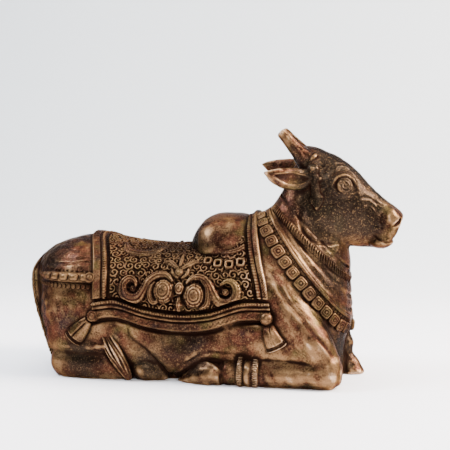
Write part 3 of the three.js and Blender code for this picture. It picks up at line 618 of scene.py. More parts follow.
head = {
    # crown x and z, jaw x and z, half width
    "rows": [
        [36.5, 82, 36.5, 66, 6], [41.2, 88.2, 39.6, 59, 11], [49.4, 87.0, 44.6, 54.4, 12.8],
        [55.4, 83.8, 51.0, 52.8, 12.8], [60.6, 79.4, 56.6, 51.0, 11.2], [65.8, 73.6, 61.4, 50.4, 9.2],
        [71.2, 68.7, 66.2, 50.2, 8.6], [75.8, 65.3, 70.6, 49.8, 8.9], [77.8, 63.0, 73.6, 53.0, 7.2]],
    "square": 0.86,
    "cheek": ((46.0, 6.8, 63.0), (8.5, 6.4, 9.0)), "poll": ((41.5, 0, 86.4), (6.5, 8.0, 3.0), 0.2),
    "browRidge": [[48.6, 78.8], [52.0, 81.2], [55.6, 80.8], [58.6, 78.0], [60.4, 74.6]],
    # it turns about the pivot, from a height above the rope on and more over the next length
    "turn": math.radians(5), "pivot": (38.0, 0.0, 70.0), "turnFrom": 1.5, "turnOver": 12,
    "box": ((18, -25, 34), (80, 25, 101)), "voxel": 0.33, "overlap": 0.4, "finish": (1, 31, (3, 8), 0.06),
}


def alongOf(line, closed=False):  # the way that a line runs at each of its points
    if closed:
        return unit(np.roll(line, -1, 0) - np.roll(line, 1, 0))
    return unit(np.gradient(line, axis=0))


def taper(line, radius, least=0.35):  # knots of a line that thins out towards both ends
    fade = np.clip(2.2 * np.sin(np.linspace(0.05, np.pi - 0.05, len(line))), least, 1)
    return np.column_stack([line, radius * fade, radius * fade])


def turnedRows(at, way, rows):  # knots of a round shape: rows of place along a way, and radius
    return [[*(at + way * place), radius, radius] for place, radius in rows]


muzzle = {
    # above the nostril, chin and upper lip: centre, radii, tilt and softness
    "bulges": (
        ((71.6, 6.2, 61.6), (3.2, 3.0, 3.9), 0.45, 1.8), ((69.4, 5.6, 52.6), (4.4, 3.6, 2.2), -0.1, 1.4),
        ((70.2, 5.9, 57.4), (4.6, 3.4, 2.4), 0.1, 1.4)),
    "mouth": [
        [65.2, 56.0], [66.6, 54.9], [68.2, 53.8], [70.1, 53.0], [72.2, 52.9], [74.0, 53.6], [75.4, 54.6]],
    "nostril": [[73.6, 9.0, 58.6, 0.3, 0.4], [75.0, 8.0, 59.6, 0.6, 0.75], [76.0, 6.6, 61.2, 0.6, 0.7]],
}


def addMuzzle(clay, which):
    for centre, radii, tilt, soft in muzzle["bulges"]:
        add(clay, ball(sided(centre, which), radii, tilt), soft)
    lips = surfaceLine(clay, muzzle["mouth"], which, out=0.1, spacing=0.5)
    carve(clay, limb(taper(lips, 0.5, least=0.5), sides=12, fine=0.4), soft=0.3)
    carve(clay, limb(sided(muzzle["nostril"], which), sides=12, fine=0.4, ends=1.0), soft=0.4)


eye = {
    "place": (55.3, 74.1), "lean": (0.12, 0, 0.05), "socket": ((4.1, 1.3, 3.3), 0.2), "socketOut": 1.1,
    "iris": ((-1.4, 3.25), (-0.15, 3.25), (0.1, 3.0225)),  # how far out, and radius
    "rings": ((2.1, 0.3), (0.85, 0.28)),  # carved round the iris and the pupil: radius and half width
    "lids": (  # places, radius and how far out
        ([[50.4, 74.2], [52.3, 77.1], [55.2, 77.9], [58.0, 76.3], [59.3, 74.0], [60.0, 72.2]], 0.58, 0.2),
        ([[50.4, 74.2], [51.4, 72.1], [53.0, 70.9], [55.8, 70.4], [58.3, 70.8], [60.0, 72.2]], 0.3, -0.1)),
}


def addEye(clay, which):
    at = onFlank(clay, [eye["place"]], which)[0]
    away = unit(outward(clay, at[None, :])[0] + eye["lean"])
    radii, tilt = eye["socket"]
    carve(clay, ball(at + away * eye["socketOut"], radii, tilt), soft=0.7)
    add(clay, limb(turnedRows(at, away, eye["iris"]), sides=40, fine=0.3, ends=0.12), soft=0.1)
    face = unit(np.cross(away, (0, 0, 1.0)))
    up = np.cross(face, away)
    turn = np.linspace(0, 2 * np.pi, 31)[:, None]
    for radius, wide in eye["rings"]:
        ring = at + away * 6 + (np.cos(turn) * face + np.sin(turn) * up) * radius
        ring = met(clay, ring, np.tile(-away, (len(ring), 1)))
        carve(clay, ropeOf(ring + away * 0.05, wide, fine=0.3), soft=0.15)
    for places, radius, out in eye["lids"]:
        line = surfaceLine(skull, places, which, out, spacing=0.6)
        add(clay, limb(taper(line, radius, least=0.6), sides=14, fine=0.4, ends=1.0), soft=0.35)


horn = {
    "root": (40.4, 7.4, 83.8), "tip": (30.9, 8.6, 94.6), "collar": (42.4, 8.0, 83.8), "leftRise": 1.6,
    # share of the way to the tip, and radius
    "rows": ((-0.3, 4.3), (0.0, 3.9), (0.3, 3.0), (0.6, 2.45), (0.85, 2.1), (0.97, 1.9), (1.0, 1.4)),
    "collarRows": ((-1.0, 2.0), (-0.8, 3.2), (0.0, 3.5), (0.8, 3.2), (1.0, 2.0)),
    "dent": ((0.8, 0.8, 0.6), 0.8),  # in the end: radii and tilt
    "pit": (0.62, 2.0, (0.55, 0.55, 0.55)),  # on the outer side: share of the way, how far out, and radii
    # engraved lines up the horn: how they lean forwards, their shares, and how far from its middle they run
    "lines": (0.9, -0.5), "shares": (0.15, 0.3, 0.45, 0.6, 0.78, 0.92),
    "out": ((0, 0.6, 1), (3.85, 2.1, 1.3)),
}


def addHorn(clay, which):
    rise = np.array([0, 0, horn["leftRise"] if which == left else 0])
    root, tip, collar = (sided(horn[name], which) + rise for name in ("root", "tip", "collar"))
    ahead = unit(tip - root)
    add(clay, limb(turnedRows(root, tip - root, horn["rows"]), sides=32, fine=0.4, ends=0.2), soft=1.0)
    ring = turnedRows(collar, unit(collar - tip), horn["collarRows"])
    add(clay, limb(ring, sides=32, fine=0.3, ends=0.2), soft=0.3)
    radii, tilt = horn["dent"]
    carve(clay, ball(tip + ahead * 0.6, radii, tilt), soft=0.2)
    side = unit(np.cross(ahead, (0.2, 0, 1.0))) * -which  # the way out of the horn's outer side
    share, out, radii = horn["pit"]
    carve(clay, ball(root + (tip - root) * share + side * out, radii), soft=0.3)
    for lean in horn["lines"]:
        way = unit(side + np.array([lean, 0, lean * 0.7]))
        line = [root + (tip - root) * s + way * np.interp(s, *horn["out"]) for s in horn["shares"]]
        carve(clay, limb(taper(np.array(line), 0.3), sides=10, fine=0.4), soft=0.2)


ears = {  # shares along the leaf, with half heights and thickness there
    right: {"root": (44.4, 9.5, 77.2), "tip": (26.4, 20.4, 78.9)},
    left: {"root": (44.0, 9.5, 81.9), "tip": (20.8, 17.5, 83.0)},
    "shares": [0, 0.14, 0.36, 0.58, 0.82, 1.0], "halves": [2.1, 3.4, 4.2, 4.0, 2.6, 0.4],
    "thick": [2.1, 2.0, 1.8, 1.5, 1.0, 0.5], "dip": 1.5, "bow": -0.8,
    # the hollow: share along the ear, half height, half depth
    "hollow": [[0.2, 0.7, 0.7], [0.34, 1.7, 1.4], [0.5, 2.3, 1.6], [0.66, 1.6, 1.3], [0.82, 0.4, 0.6]],
    "rimCuts": 22, "cutRadius": 0.2,
}


def addEar(clay, which):
    root, tip = (sided(ears[which][name], which) for name in ("root", "tip"))
    shares, up = np.array(ears["shares"]), np.array([0, 0, 1.0])
    middle = root + (tip - root) * shares[:, None] - up * ears["dip"] * np.sin(np.pi * shares)[:, None]
    ahead = unit(tip - root)
    front = unit(np.cross(ahead, up))
    front = front * np.sign(front[1] * which)  # the way that the hollow faces
    middle = middle + np.sin(np.pi * shares)[:, None] * front * ears["bow"]
    leaf = np.column_stack([middle, ears["thick"], ears["halves"]])
    add(clay, limb(leaf, sides=48, fine=0.4, ends=0.3), soft=0.7)
    hollow = []
    for share, half, deep in ears["hollow"]:
        at = [np.interp(share, shares, middle[:, k]) for k in range(3)]
        hollow.append([*(at + front * (np.interp(share, shares, ears["thick"]) + 0.1)), deep, half])
    carve(clay, limb(hollow, sides=40, fine=0.4, ends=0.3), soft=0.35)
    # short cuts across the rim
    for swing in 2 * np.pi * (np.arange(ears["rimCuts"]) + 0.5) / ears["rimCuts"]:
        share = 0.5 + 0.42 * math.cos(swing)
        half = np.interp(share, shares, ears["halves"]) * 0.86
        at = root + (tip - root) * share + front * 0.75
        at = at + up * (half * math.sin(swing) - ears["dip"] * math.sin(math.pi * share))
        out = unit(ahead * math.cos(swing) * 0.7 + up * math.sin(swing))
        line = [at - out + front * 0.5, at + front * 0.5, at + out * 1.2 + front * 0.1]
        carve(clay, ropeOf(line, ears["cutRadius"], fine=0.4), soft=0.1)


earring = {  # a rosette under the horn, and a leaf that hangs from it down the cheek
    "strips": (  # places, then shares of the length and half widths there
        ([[43.6, 78.0], [43.8, 75.0], [44.2, 72.0], [44.4, 69.8]], (0, 1), (1.7, 1.6)),
        ([[44.3, 71.2], [44.6, 69.0], [44.8, 67.0], [44.9, 65.0]], (0, 0.3, 0.6, 1), (1.4, 2.7, 2.1, 0.2))),
    "bar": [[41.4, 76.4], [43.6, 77.2], [46.0, 76.4]], "barRadius": 0.8, "rosette": [43.2, 79.9],
    "balls": ((0.2, (2.2, 1.5, 2.2), 0.2), (1.5, (0.9, 0.7, 0.9), 0.1)),  # how far out, radii and softness
    "petals": 8, "petalCut": (0.3, 0.5, 0.3),
}


def addEarring(clay, which):
    for places, shares, widths in earring["strips"]:
        line = surfaceLine(skull, places, which, out=0.1, spacing=0.6)
        ways = outward(skull, line)
        wide = np.interp(np.linspace(0, 1, len(line)), shares, widths)[:, None]
        knots = np.hstack([line, wide, np.ones_like(wide)])
        add(clay, limb(knots, sides=20, fine=0.4, ends=0.4, ways=ways), soft=0.15)
        across = unit(np.cross(alongOf(line), ways))
        for shift in (-0.5, 0.5):  # engraved lines down both
            spot = line + ways * 0.98 + across * wide * shift
            carve(clay, limb(taper(spot, 0.22), sides=10, fine=0.4), soft=0.1)
    bar = surfaceLine(skull, earring["bar"], which, out=0.2, spacing=0.5)
    bar = np.column_stack([bar, np.full((len(bar), 2), earring["barRadius"])])
    add(clay, limb(bar, sides=14, fine=0.4, ends=0.6), soft=0.15)
    at = onFlank(skull, [earring["rosette"]], which)[0]
    away = outward(skull, at[None, :])[0]
    for out, radii, soft in earring["balls"]:
        add(clay, ball(at + away * out, radii), soft)
    for swing in 2 * np.pi * np.arange(earring["petals"]) / earring["petals"]:
        spot = at + away * 1.6 + np.array([math.cos(swing), 0, math.sin(swing)]) * 1.6
        carve(clay, ball(spot, earring["petalCut"]), soft=0.2)


skull = newClay(*head["box"], head["voxel"])


headLines = {  # carved lines at each side of the head: places [x, z], radius, how far out the line runs
    "behindJaw": (
        [[38.6, 66.0], [39.4, 61.4], [41.2, 57.0], [44.0, 53.7], [48.2, 52.7], [54.4, 52.0]], 0.95, 0.3),
    "aboveLid": ([[49.4, 76.2], [51.6, 78.6], [55.2, 79.4], [58.8, 77.6], [60.8, 74.6]], 0.28, 0.05),
    "belowLid": ([[50.0, 72.2], [52.0, 69.9], [55.4, 69.1], [59.0, 69.8]], 0.25, 0.05),
    "browHairs": ([[50.6, 80.8], [52.6, 82.2], [55.0, 82.2]], 0.25, 0.0),
    "browHairsLow": ([[52.4, 79.9], [54.6, 80.9], [57.2, 80.0]], 0.25, 0.0),
    "browHairsFront": ([[57.4, 81.0], [59.2, 78.8], [60.2, 76.8]], 0.25, 0.0),
    "temple": ([[45.8, 73.2], [47.4, 74.8], [49.4, 76.2]], 0.3, 0.05),
    "templeLow": ([[46.6, 72.0], [48.4, 73.4], [49.8, 74.0]], 0.3, 0.05),
    "brow": ([[46.8, 78.4], [49.4, 81.4], [53.0, 82.6], [56.6, 81.6]], 0.3, 0.0),
    "noseLine": ([[61.0, 69.2], [63.6, 69.6], [66.0, 68.4], [67.6, 66.4]], 0.3, 0.05),
    "noseLineLow": ([[62.0, 66.6], [64.4, 67.0], [66.6, 65.4], [67.6, 63.4]], 0.28, 0.05),
    "noseWrinkle": ([[65.4, 69.4], [67.6, 67.4], [69.6, 66.6]], 0.3, 0.0),
    "nostrilBack": ([[69.4, 64.0], [68.6, 61.0], [69.6, 58.2], [71.8, 56.8]], 0.55, 0.0),
    "lipFold": ([[63.8, 57.0], [66.4, 56.6], [68.8, 55.6], [71.4, 56.0]], 0.3, 0.0),
    "chin": ([[67.4, 51.8], [70.0, 51.2], [72.4, 51.6]], 0.3, 0.0),
}


def buildHead():
    add(skull, leaningRings(head["rows"], head["square"], 70))
    for which in (right, left):
        centre, radii = head["cheek"]
        add(skull, ball(sided(centre, which), radii), soft=2.6)
        ridge = surfaceLine(skull, head["browRidge"], which, out=-1.5)
        add(skull, limb(taper(ridge, 1.5, least=0.5), sides=18), soft=1.6)
    add(skull, ball(*head["poll"]), soft=2.5)
    clay = copyOf(skull)
    add(clay, leaningRings(neck["rows"], neck["square"], 60), soft=1.8)
    whole = copyOf(clay)
    for which in (right, left):
        for places, radius, out in headLines.values():
            line = surfaceLine(whole, places, which, out)
            carve(clay, limb(taper(line, radius), sides=12, fine=0.5), soft=0.45)
        for addPart in (addMuzzle, addEye, addHorn, addEar, addEarring):
            addPart(clay, which)
    nape, throat, sag, wide = necklaces["folds"][-1]  # the upper fold runs on over this piece
    points, ways = collarRing(clay, nape, throat, sag)
    line = points + ways * 0.1
    carve(clay, ropeOf(np.vstack([line, line[:2]]), wide), soft=0.5)
    return clay


def turnHead(points):
    start, way = planeOf(necklaces["rope"])
    share = np.clip(((points - start) @ way - head["turnFrom"]) / head["turnOver"], 0, 1)
    angle = head["turn"] * share * share * (3 - 2 * share)
    x, y = points[:, 0] - head["pivot"][0], points[:, 1] - head["pivot"][1]
    turned = np.column_stack([x * np.cos(angle) - y * np.sin(angle), x * np.sin(angle) + y * np.cos(angle)])
    return np.column_stack([turned + head["pivot"][:2], points[:, 2]])


def makeHead():
    clay = buildHead()
    start, way = planeOf(necklaces["rope"])
    cutBeyond(clay, start - way * head["overlap"], -way)
    points, faces = handWorked(clay, *head["finish"])
    keep(makeObject("bullHead", turnHead(points), faces))


makeHead()


# Saddle cloth: a plate that hugs the back, with all its carving as heights above the body

cloth = {
    "axisHeight": 22.0,  # of the line along the body round which the cloth is laid
    "sunk": 2.2, "field": 0.85, "dark": 0.2,  # depth of the plate, heights of its field and of the grooves
    "level": 36.0,  # places up and down the cloth are counted from this height
    # how the back and the front edge run: share of the way from the ridge to the hem, and x
    "backEdge": [[-0.1, -46.6], [0, -46.4], [0.15, -45.2], [0.35, -41.8], [0.52, -39.2], [0.74, -37.6],
                 [0.92, -37.2], [1.0, -37.0], [1.1, -37.0]],
    "frontEdge": [[-0.1, 22.6], [0, 22.6], [0.3, 24.4], [0.52, 26.7], [0.71, 29.0], [0.87, 30.0],
                  [1.0, 30.6], [1.1, 30.8]],
    "rows": {right: 262, left: 170}, "columns": {right: 356, left: 232},
}


def clothGrid(which):  # points under the cloth, with their place along it
    rows, columns = cloth["rows"][which], cloth["columns"][which]
    share = np.linspace(-0.006 if which == right else 0, 1, rows)[:, None] * np.ones(columns)
    back = smoothTable(cloth["backEdge"], share[:, 0])
    front = smoothTable(cloth["frontEdge"], share[:, 0])
    x = back + (front - back) * np.linspace(0, 1, columns)
    hem = smoothTable(hemEdge, x.ravel()).reshape(x.shape)
    angle = share * np.arctan2(27.0, hem - cloth["axisHeight"])
    away = np.stack([np.zeros_like(x), np.sin(angle) * which, np.cos(angle)], axis=2).reshape(-1, 3)
    axis = np.column_stack([x.ravel(), np.zeros(x.size), np.full(x.size, cloth["axisHeight"])])
    base = met(ground, axis + away * 60, -away)
    ways = outward(ground, base).reshape(rows, columns, 3)
    for _ in range(12):  # smoother ways out over the blends
        ways[1:-1, 1:-1] = unit(ways[1:-1, 1:-1] * 2 + ways[:-2, 1:-1] + ways[2:, 1:-1]
                                + ways[1:-1, :-2] + ways[1:-1, 2:])
    return base.reshape(rows, columns, 3), unit(ways)


def unrolled(base):  # lengths along the cloth: x, down from the ridge, up from the hem, in from the ends
    down = np.linalg.norm(np.diff(base, axis=0), axis=2).cumsum(0)
    down = np.vstack([np.zeros((1, base.shape[1])), down])
    across = np.linalg.norm(np.diff(base, axis=1), axis=2).cumsum(1)
    across = np.hstack([np.zeros((base.shape[0], 1)), across])
    return {"x": base[..., 0], "down": down, "up": down[-1] - down, "fromBack": across,
            "fromFront": across[:, -1:] - across}


def bandOn(sheet, line):  # near places: distance from a band's middle over its half width, place along, side
    pitch = 0.3
    line = evenLine(np.array(line), pitch)
    far = line[:, 2].max() * 1.2 + 0.5
    near = ((sheet["x"] > line[:, 0].min() - far) & (sheet["x"] < line[:, 0].max() + far)
            & (sheet["v"] > line[:, 1].min() - far) & (sheet["v"] < line[:, 1].max() + far))
    x, v = sheet["x"][near][:, None], sheet["v"][near][:, None]
    d = np.hypot(x - line[:, 0], v - line[:, 1])
    i = d.argmin(1)
    ahead = np.gradient(line[:, :2], axis=0)[i]
    side = np.sign((x[:, 0] - line[i, 0]) * ahead[:, 1] - (v[:, 0] - line[i, 1]) * ahead[:, 0])
    across = d[np.arange(len(i)), i] / line[i, 2]
    return near, across, i * pitch, side


def drawBand(sheet, height, line, high, grooves=True, notches=0.9):
    near, across, along, side = bandOn(sheet, line)
    h = cloth["field"] + high * np.sqrt(np.clip(1 - across**2, 0, 1)) ** 0.7
    if grooves:  # two engraved lines, and cuts on the outer side
        for middle, wide, deep in ((0.25, 0.12, 0.38), (-0.4, 0.1, 0.3)):
            h = h - deep * np.exp(-(((across * side - middle) / wide) ** 2))
        h = h - 0.32 * (side < 0) * (across > 0.45) * np.clip(np.sin(2 * np.pi * along / notches) - 0.1, 0, 1)
    inside = across < 1
    rim = (across >= 1) & (across < 1.35)  # a dark groove beside the band
    h = np.where(inside, h, cloth["dark"] + (across - 1) * 1.6)
    index = np.argwhere(near)
    rows, columns = index[inside].T
    height[rows, columns] = np.maximum(height[rows, columns], h[inside])
    rows, columns = index[rim].T
    low = height[rows, columns] <= cloth["field"] + 0.5
    height[rows[low], columns[low]] = np.minimum(height[rows[low], columns[low]], h[rim][low])


def drawBoss(sheet, height, place, high, rings=(), petals=0, pointed=False):
    x, v, wide, tall = place
    dx, dv = (sheet["x"] - x) / wide, (sheet["v"] - v) / tall
    r = np.abs(dx) + np.abs(dv) if pointed else np.hypot(dx, dv)
    dome = np.clip(1 - r, 0, 1) ** 0.6 if pointed else np.sqrt(np.clip(1 - r**2.6, 0, 1))
    h = cloth["field"] + high * dome
    for ring in rings:
        h = h - 0.34 * np.exp(-(((r - ring) * wide / 0.22) ** 2))
    if petals:
        swing = np.arctan2(dv, dx)
        h = h - 0.25 * (r > 0.55) * np.clip(np.cos(petals * swing), 0, 1) ** 4
    if pointed:
        h = h - 0.45 * np.exp(-((dx * wide / 0.2) ** 2)) * (r < 0.85)
    height[r < 1] = np.maximum(height, h)[r < 1]
    rim = (r >= 1) & (r < 1.16) & (height < cloth["field"] + 0.6)
    height[rim] = np.minimum(height[rim], cloth["dark"])


def curl(x, v, radius, start, way, turns=1.25):  # a small scroll as a band
    t = np.linspace(0, 1, 14)
    swing = start + way * t * turns * 2 * np.pi
    r = radius * (1 - 0.8 * t)
    return np.column_stack([x + r * np.cos(swing), v + r * np.sin(swing), np.full(len(t), 0.42)])


def atPlace(sheet, base, x, z):  # the unrolled place of a point [x, z] seen from the side
    d = (base[..., 0] - x) ** 2 + (base[..., 2] - z) ** 2
    row, column = np.unravel_index(d.argmin(), d.shape)
    return sheet["x"][row, column], sheet["v"][row, column]


def profile(rows, d):
    rows = np.array(rows)
    return np.interp(d, rows[:, 0], rows[:, 1])


scatter = {"seed": 5, "pitch": 3.3, "radius": 1.75, "high": 0.8}


def drawScrolls(sheet, height):  # set out by chance over the field, each with a dot beside it
    draw = np.random.default_rng(scatter["seed"])
    x, v, pitch = sheet["x"], sheet["v"], scatter["pitch"]
    for u in np.arange(x.min() + 2, x.max(), pitch):
        for row, w in enumerate(np.arange(v.min() + 6, v.max() - 1, pitch * 0.92)):
            place = (u + (row % 2) * pitch / 2 + draw.uniform(-0.4, 0.4), w + draw.uniform(-0.4, 0.4))
            radius = scatter["radius"] * draw.uniform(0.85, 1.12)
            line = curl(*place, radius, draw.uniform(0, 2 * np.pi), draw.choice([-1, 1]))
            drawBand(sheet, height, line, scatter["high"], grooves=False)
            drawBoss(sheet, height, (place[0] + radius * 1.15, place[1] + radius, 0.5, 0.5), 0.6)


flowerBands = {  # height, spacing of the cuts along the rim, and rows of x, z and half width
    "leafLeft": (1.6, 1.1, [[-5.4, 41.6, 0.9], [-7.6, 43.0, 1.5], [-9.6, 43.6, 1.2], [-11.2, 43.2, 0.4]]),
    "leafRight": (1.6, 1.1, [[-3.6, 41.6, 0.9], [-1.2, 43.0, 1.5], [0.8, 43.8, 1.2], [2.4, 43.6, 0.4]]),
    "leafUp": (1.6, 1.1, [[-4.6, 42.6, 0.7], [-4.5, 44.6, 1.0], [-4.4, 46.0, 0.4]]),
    "stemLeft": (1.6, 1.1, [[-4.6, 38.6, 0.5], [-6.6, 39.8, 0.9], [-7.4, 41.4, 0.4]]),
    "stemRight": (1.6, 1.1, [[-3.0, 38.6, 0.5], [-1.4, 39.8, 0.9], [-1.0, 41.4, 0.4]]),
    "hoodLeft": (2.35, 1.0, [
        [-13.2, 36.8, 0.5], [-14.6, 35.2, 1.0], [-14.9, 32.8, 1.25], [-13.6, 30.8, 1.2], [-12.0, 30.6, 0.8],
        [-11.9, 31.6, 0.4]]),
    "hoodRight": (2.35, 1.0, [
        [4.6, 38.0, 0.6], [7.0, 36.0, 1.2], [7.6, 33.0, 1.5], [7.0, 30.2, 1.4], [5.0, 28.7, 0.8]]),
    "scrollLeft": (2.35, 1.0, [
        [-20.4, 35.8, 0.6], [-21.0, 37.4, 1.0], [-23.2, 38.1, 1.45], [-25.2, 36.6, 1.7], [-25.2, 33.9, 1.85],
        [-22.9, 31.8, 1.95], [-19.6, 31.9, 1.95], [-17.4, 34.4, 1.85], [-15.6, 37.4, 1.75],
        [-12.4, 39.3, 1.6], [-8.9, 39.3, 1.3], [-6.6, 37.7, 0.7]]),
    "scrollRight": (2.35, 1.0, [
        [12.4, 37.0, 0.6], [14.6, 38.2, 1.1], [17.0, 37.4, 1.5], [18.2, 34.8, 1.75], [17.1, 31.9, 1.95],
        [14.2, 30.5, 2.0], [11.2, 31.5, 1.9], [9.3, 34.2, 1.8], [7.5, 37.0, 1.65], [4.6, 38.8, 1.5],
        [1.4, 38.8, 1.2], [-0.8, 37.0, 0.6]]),
}
flowerBosses = {  # x, z, half width and half height; height, engraved rings as shares, petals
    "scrollBeadLeft": ((-21.4, 34.9, 1.3, 1.3), 1.5, (0.45,), 0),
    "scrollBeadRight": ((14.0, 34.6, 1.5, 1.5), 1.9, (0.5,), 0),
    "palmette": ((-4.6, 40.4, 1.9, 2.0), 2.0, (0.35, 0.7), 0),
    "rosetteLeft": ((-9.7, 34.3, 4.4, 4.6), 2.9, (0.42, 0.66, 0.86), 9),
    "rosetteRight": ((2.4, 33.0, 4.5, 4.8), 3.1, (0.4, 0.64, 0.85), 9),
    "centreBead": ((-3.6, 35.2, 2.1, 2.4), 2.5, (0.55,), 0),
}
bud = ((-3.6, 29.8, 2.7, 3.9), 3.2)
edgeBands = {  # a crescent above the flower, and a band round the foot of the hump
    "crescent": (1.5, 1.3, [
        [-29.6, 49.8, 1.0], [-26.6, 47.6, 1.9], [-21.0, 46.6, 2.3], [-15.4, 47.4, 1.7], [-11.2, 49.4, 0.8]]),
    "hump": (1.35, 0.8, [
        [-7.6, 49.6, 0.9], [-3.0, 50.4, 1.1], [1.5, 49.9, 1.2], [6.4, 48.4, 1.25], [12.4, 48.0, 1.25],
        [17.2, 49.0, 1.2], [20.4, 50.8, 1.1]]),
}


def drawBands(sheet, base, height, bands):
    for high, notches, rows in bands.values():
        line = [[*atPlace(sheet, base, x, z), wide] for x, z, wide in rows]
        drawBand(sheet, height, line, high, notches=notches)


def drawFlower(sheet, base, height):
    drawBands(sheet, base, height, flowerBands)
    for (x, z, wide, tall), high, rings, petals in flowerBosses.values():
        drawBoss(sheet, height, (*atPlace(sheet, base, x, z), wide, tall), high, rings, petals)
    (x, z, wide, tall), high = bud
    drawBoss(sheet, height, (*atPlace(sheet, base, x, z), wide, tall), high, pointed=True)


holedBeads = {
    "places": [[6.0, 44.6], [10.3, 44.0], [14.7, 44.0], [19.0, 44.9]],
    "radius": 1.75, "hole": 0.62, "groove": 2.05,
}


def drawHoledBeads(sheet, base, height):
    radius = holedBeads["radius"]
    for x, z in holedBeads["places"]:
        u, v = atPlace(sheet, base, x, z)
        du, dv = np.abs(sheet["x"] - u), np.abs(sheet["v"] - v)
        r = np.maximum(du, dv) * 0.6 + np.hypot(du, dv) * 0.4  # between square and round
        bead = 2.2 - 3.2 * np.clip(1.0 - r, 0, 0.6) - 0.5 * np.clip(r - 1.4, 0, 1)
        height[:] = np.where(r < radius, np.maximum(height, bead), height)
        height[r < holedBeads["hole"]] = 0.4
        height[(r >= radius) & (r < holedBeads["groove"]) & (height < 1.6)] = cloth["dark"]


borders = {  # rows of distance from the edge and height; the borders are double, with a dark groove inside
    "back": [[0, 1.3], [0.35, 1.85], [0.7, 2.0], [3.0, 1.8], [3.3, 1.2], [3.7, 1.2], [4.0, 1.8], [4.7, 2.15],
             [5.4, 1.8], [5.8, 0.5], [6.6, 0.1], [7.0, 0.8]],
    "front": [[0, 1.2], [0.4, 1.7], [0.8, 1.85], [2.0, 1.7], [2.25, 1.15], [2.55, 1.15], [2.8, 1.8],
              [3.5, 2.1], [4.1, 1.8], [4.4, 0.6], [5.1, 0.1], [5.5, 0.8]],
    "hem": [[0, 1.5], [0.35, 2.1], [0.8, 2.35], [2.6, 2.3], [3.0, 2.15], [3.2, 1.5], [3.45, 1.5], [3.7, 2.1],
            [4.1, 2.3], [4.5, 2.1], [4.75, 1.5], [5.0, 1.6], [5.3, 2.1], [5.7, 2.3], [6.2, 1.9], [6.6, 0.5],
            [7.3, 0.0], [7.8, 0.8]],
    "widths": {"back": 6.9, "front": 5.4, "hem": 7.6},
    "cords": {"back": 4.7, "front": 3.5, "hem": 5.7},  # where a twisted cord runs along each
}


def drawBorders(sheet, height):  # the back and the front one over the field, and the hem over both
    x, v, back, front, up = (sheet[name] for name in ("x", "v", "fromBack", "fromFront", "up"))
    widths, cords = borders["widths"], borders["cords"]
    wavy = 0.06 * np.sin(x * 1.1 + v * 0.7) + 0.04 * np.sin(v * 2.3 - x)
    hatch = 0.14 * np.clip(np.sin((x - v) * 6.2), 0, 1)
    twist = 0.3 * np.abs(np.sin(v * 2.9)) ** 0.6
    h = profile(borders["back"], back) - hatch * (back < 2.9) * (back > 0.8)
    h = h - twist * (np.abs(back - cords["back"]) < 0.75)
    height[:] = np.where(back < widths["back"], h + wavy, height)
    h = profile(borders["front"], front) - hatch * (front < 1.9)
    h = h - twist * (np.abs(front - cords["front"]) < 0.7)
    height[:] = np.where(front < widths["front"], h + wavy, height)
    zigzag = np.abs((x / 1.9) % 1 - 0.5) * 2.6 + 1.0
    h = profile(borders["hem"], up) - 0.3 * np.exp(-(((up - zigzag) / 0.16) ** 2))
    h = h - 0.28 * (np.abs(np.sin(x * 2.4)) ** 0.6) * (np.abs(up - cords["hem"]) < 0.5)
    height[:] = np.where(up < widths["hem"], h + wavy, height)


def clothHeights(base):
    sheet = unrolled(base)
    level = np.abs(base[..., 2] - cloth["level"]).argmin(0)
    sheet["v"] = sheet["down"][level, np.arange(base.shape[1])] - sheet["down"]
    x, v = sheet["x"], sheet["v"]
    # hammered ground between the scrolls
    grain = 0.16 * np.sin(x * 4.4 + 1.3 * np.sin(v * 2.9)) * np.sin(v * 4.9 + 1.1 * np.sin(x * 3.3))
    height = cloth["field"] + grain
    drawScrolls(sheet, height)
    drawFlower(sheet, base, height)
    drawBands(sheet, base, height, edgeBands)
    drawHoledBeads(sheet, base, height)
    drawBorders(sheet, height)
    return height, sheet


def closedPlate(top, low, coarse):  # a fine upper side, walls, and an under side of large faces
    rows, columns = top.shape[:2]
    index = np.arange(rows * columns).reshape(rows, columns)
    a, b, c, d = index[:-1, :-1], index[:-1, 1:], index[1:, 1:], index[1:, :-1]
    faces = [tuple(face) for face in np.stack([a, b, c, d], axis=2).reshape(-1, 4)]
    rim = np.concatenate([index[0, :-1], index[:-1, -1], index[-1, :0:-1], index[:0:-1, 0]])
    lowPoints, lowIndex = [], {}

    def under(i, j):
        if (i, j) not in lowIndex:
            lowIndex[(i, j)] = rows * columns + len(lowPoints)
            lowPoints.append(low[i, j])
        return lowIndex[(i, j)]

    places = [divmod(int(k), columns) for k in rim]
    for (i, j), (i2, j2), p, q in zip(places, places[1:] + places[:1], rim, np.roll(rim, -1)):
        faces.append((q, p, under(i, j), under(i2, j2)))
    iStops = sorted(set(list(range(0, rows - 1, coarse)) + [rows - 1]))
    jStops = sorted(set(list(range(0, columns - 1, coarse)) + [columns - 1]))
    for i, i2 in zip(iStops, iStops[1:]):
        for j, j2 in zip(jStops, jStops[1:]):
            near = [(i, k) for k in (range(j, j2) if i == 0 else [j])]
            far = [(k, j2) for k in (range(i, i2) if j2 == columns - 1 else [i])]
            back = [(i2, k) for k in (range(j2, j, -1) if i2 == rows - 1 else [j2])]
            home = [(k, j) for k in (range(i2, i, -1) if j == 0 else [i2])]
            faces.append(tuple(under(*place) for place in reversed(near + far + back + home)))
    return np.vstack([top.reshape(-1, 3), np.array(lowPoints)]), faces


def makeCloth(which, name):
    base, ways = clothGrid(which)
    height, sheet = clothHeights(base)
    if which == right:
        height[0] -= 0.5  # the right half goes a little under the left one at the ridge
    points, faces = closedPlate(base + ways * height[..., None], base - ways * cloth["sunk"], coarse=24)
    if which == right:
        faces = [face[::-1] for face in faces]
    keep(makeObject(name, points, faces))
    return base, ways, sheet


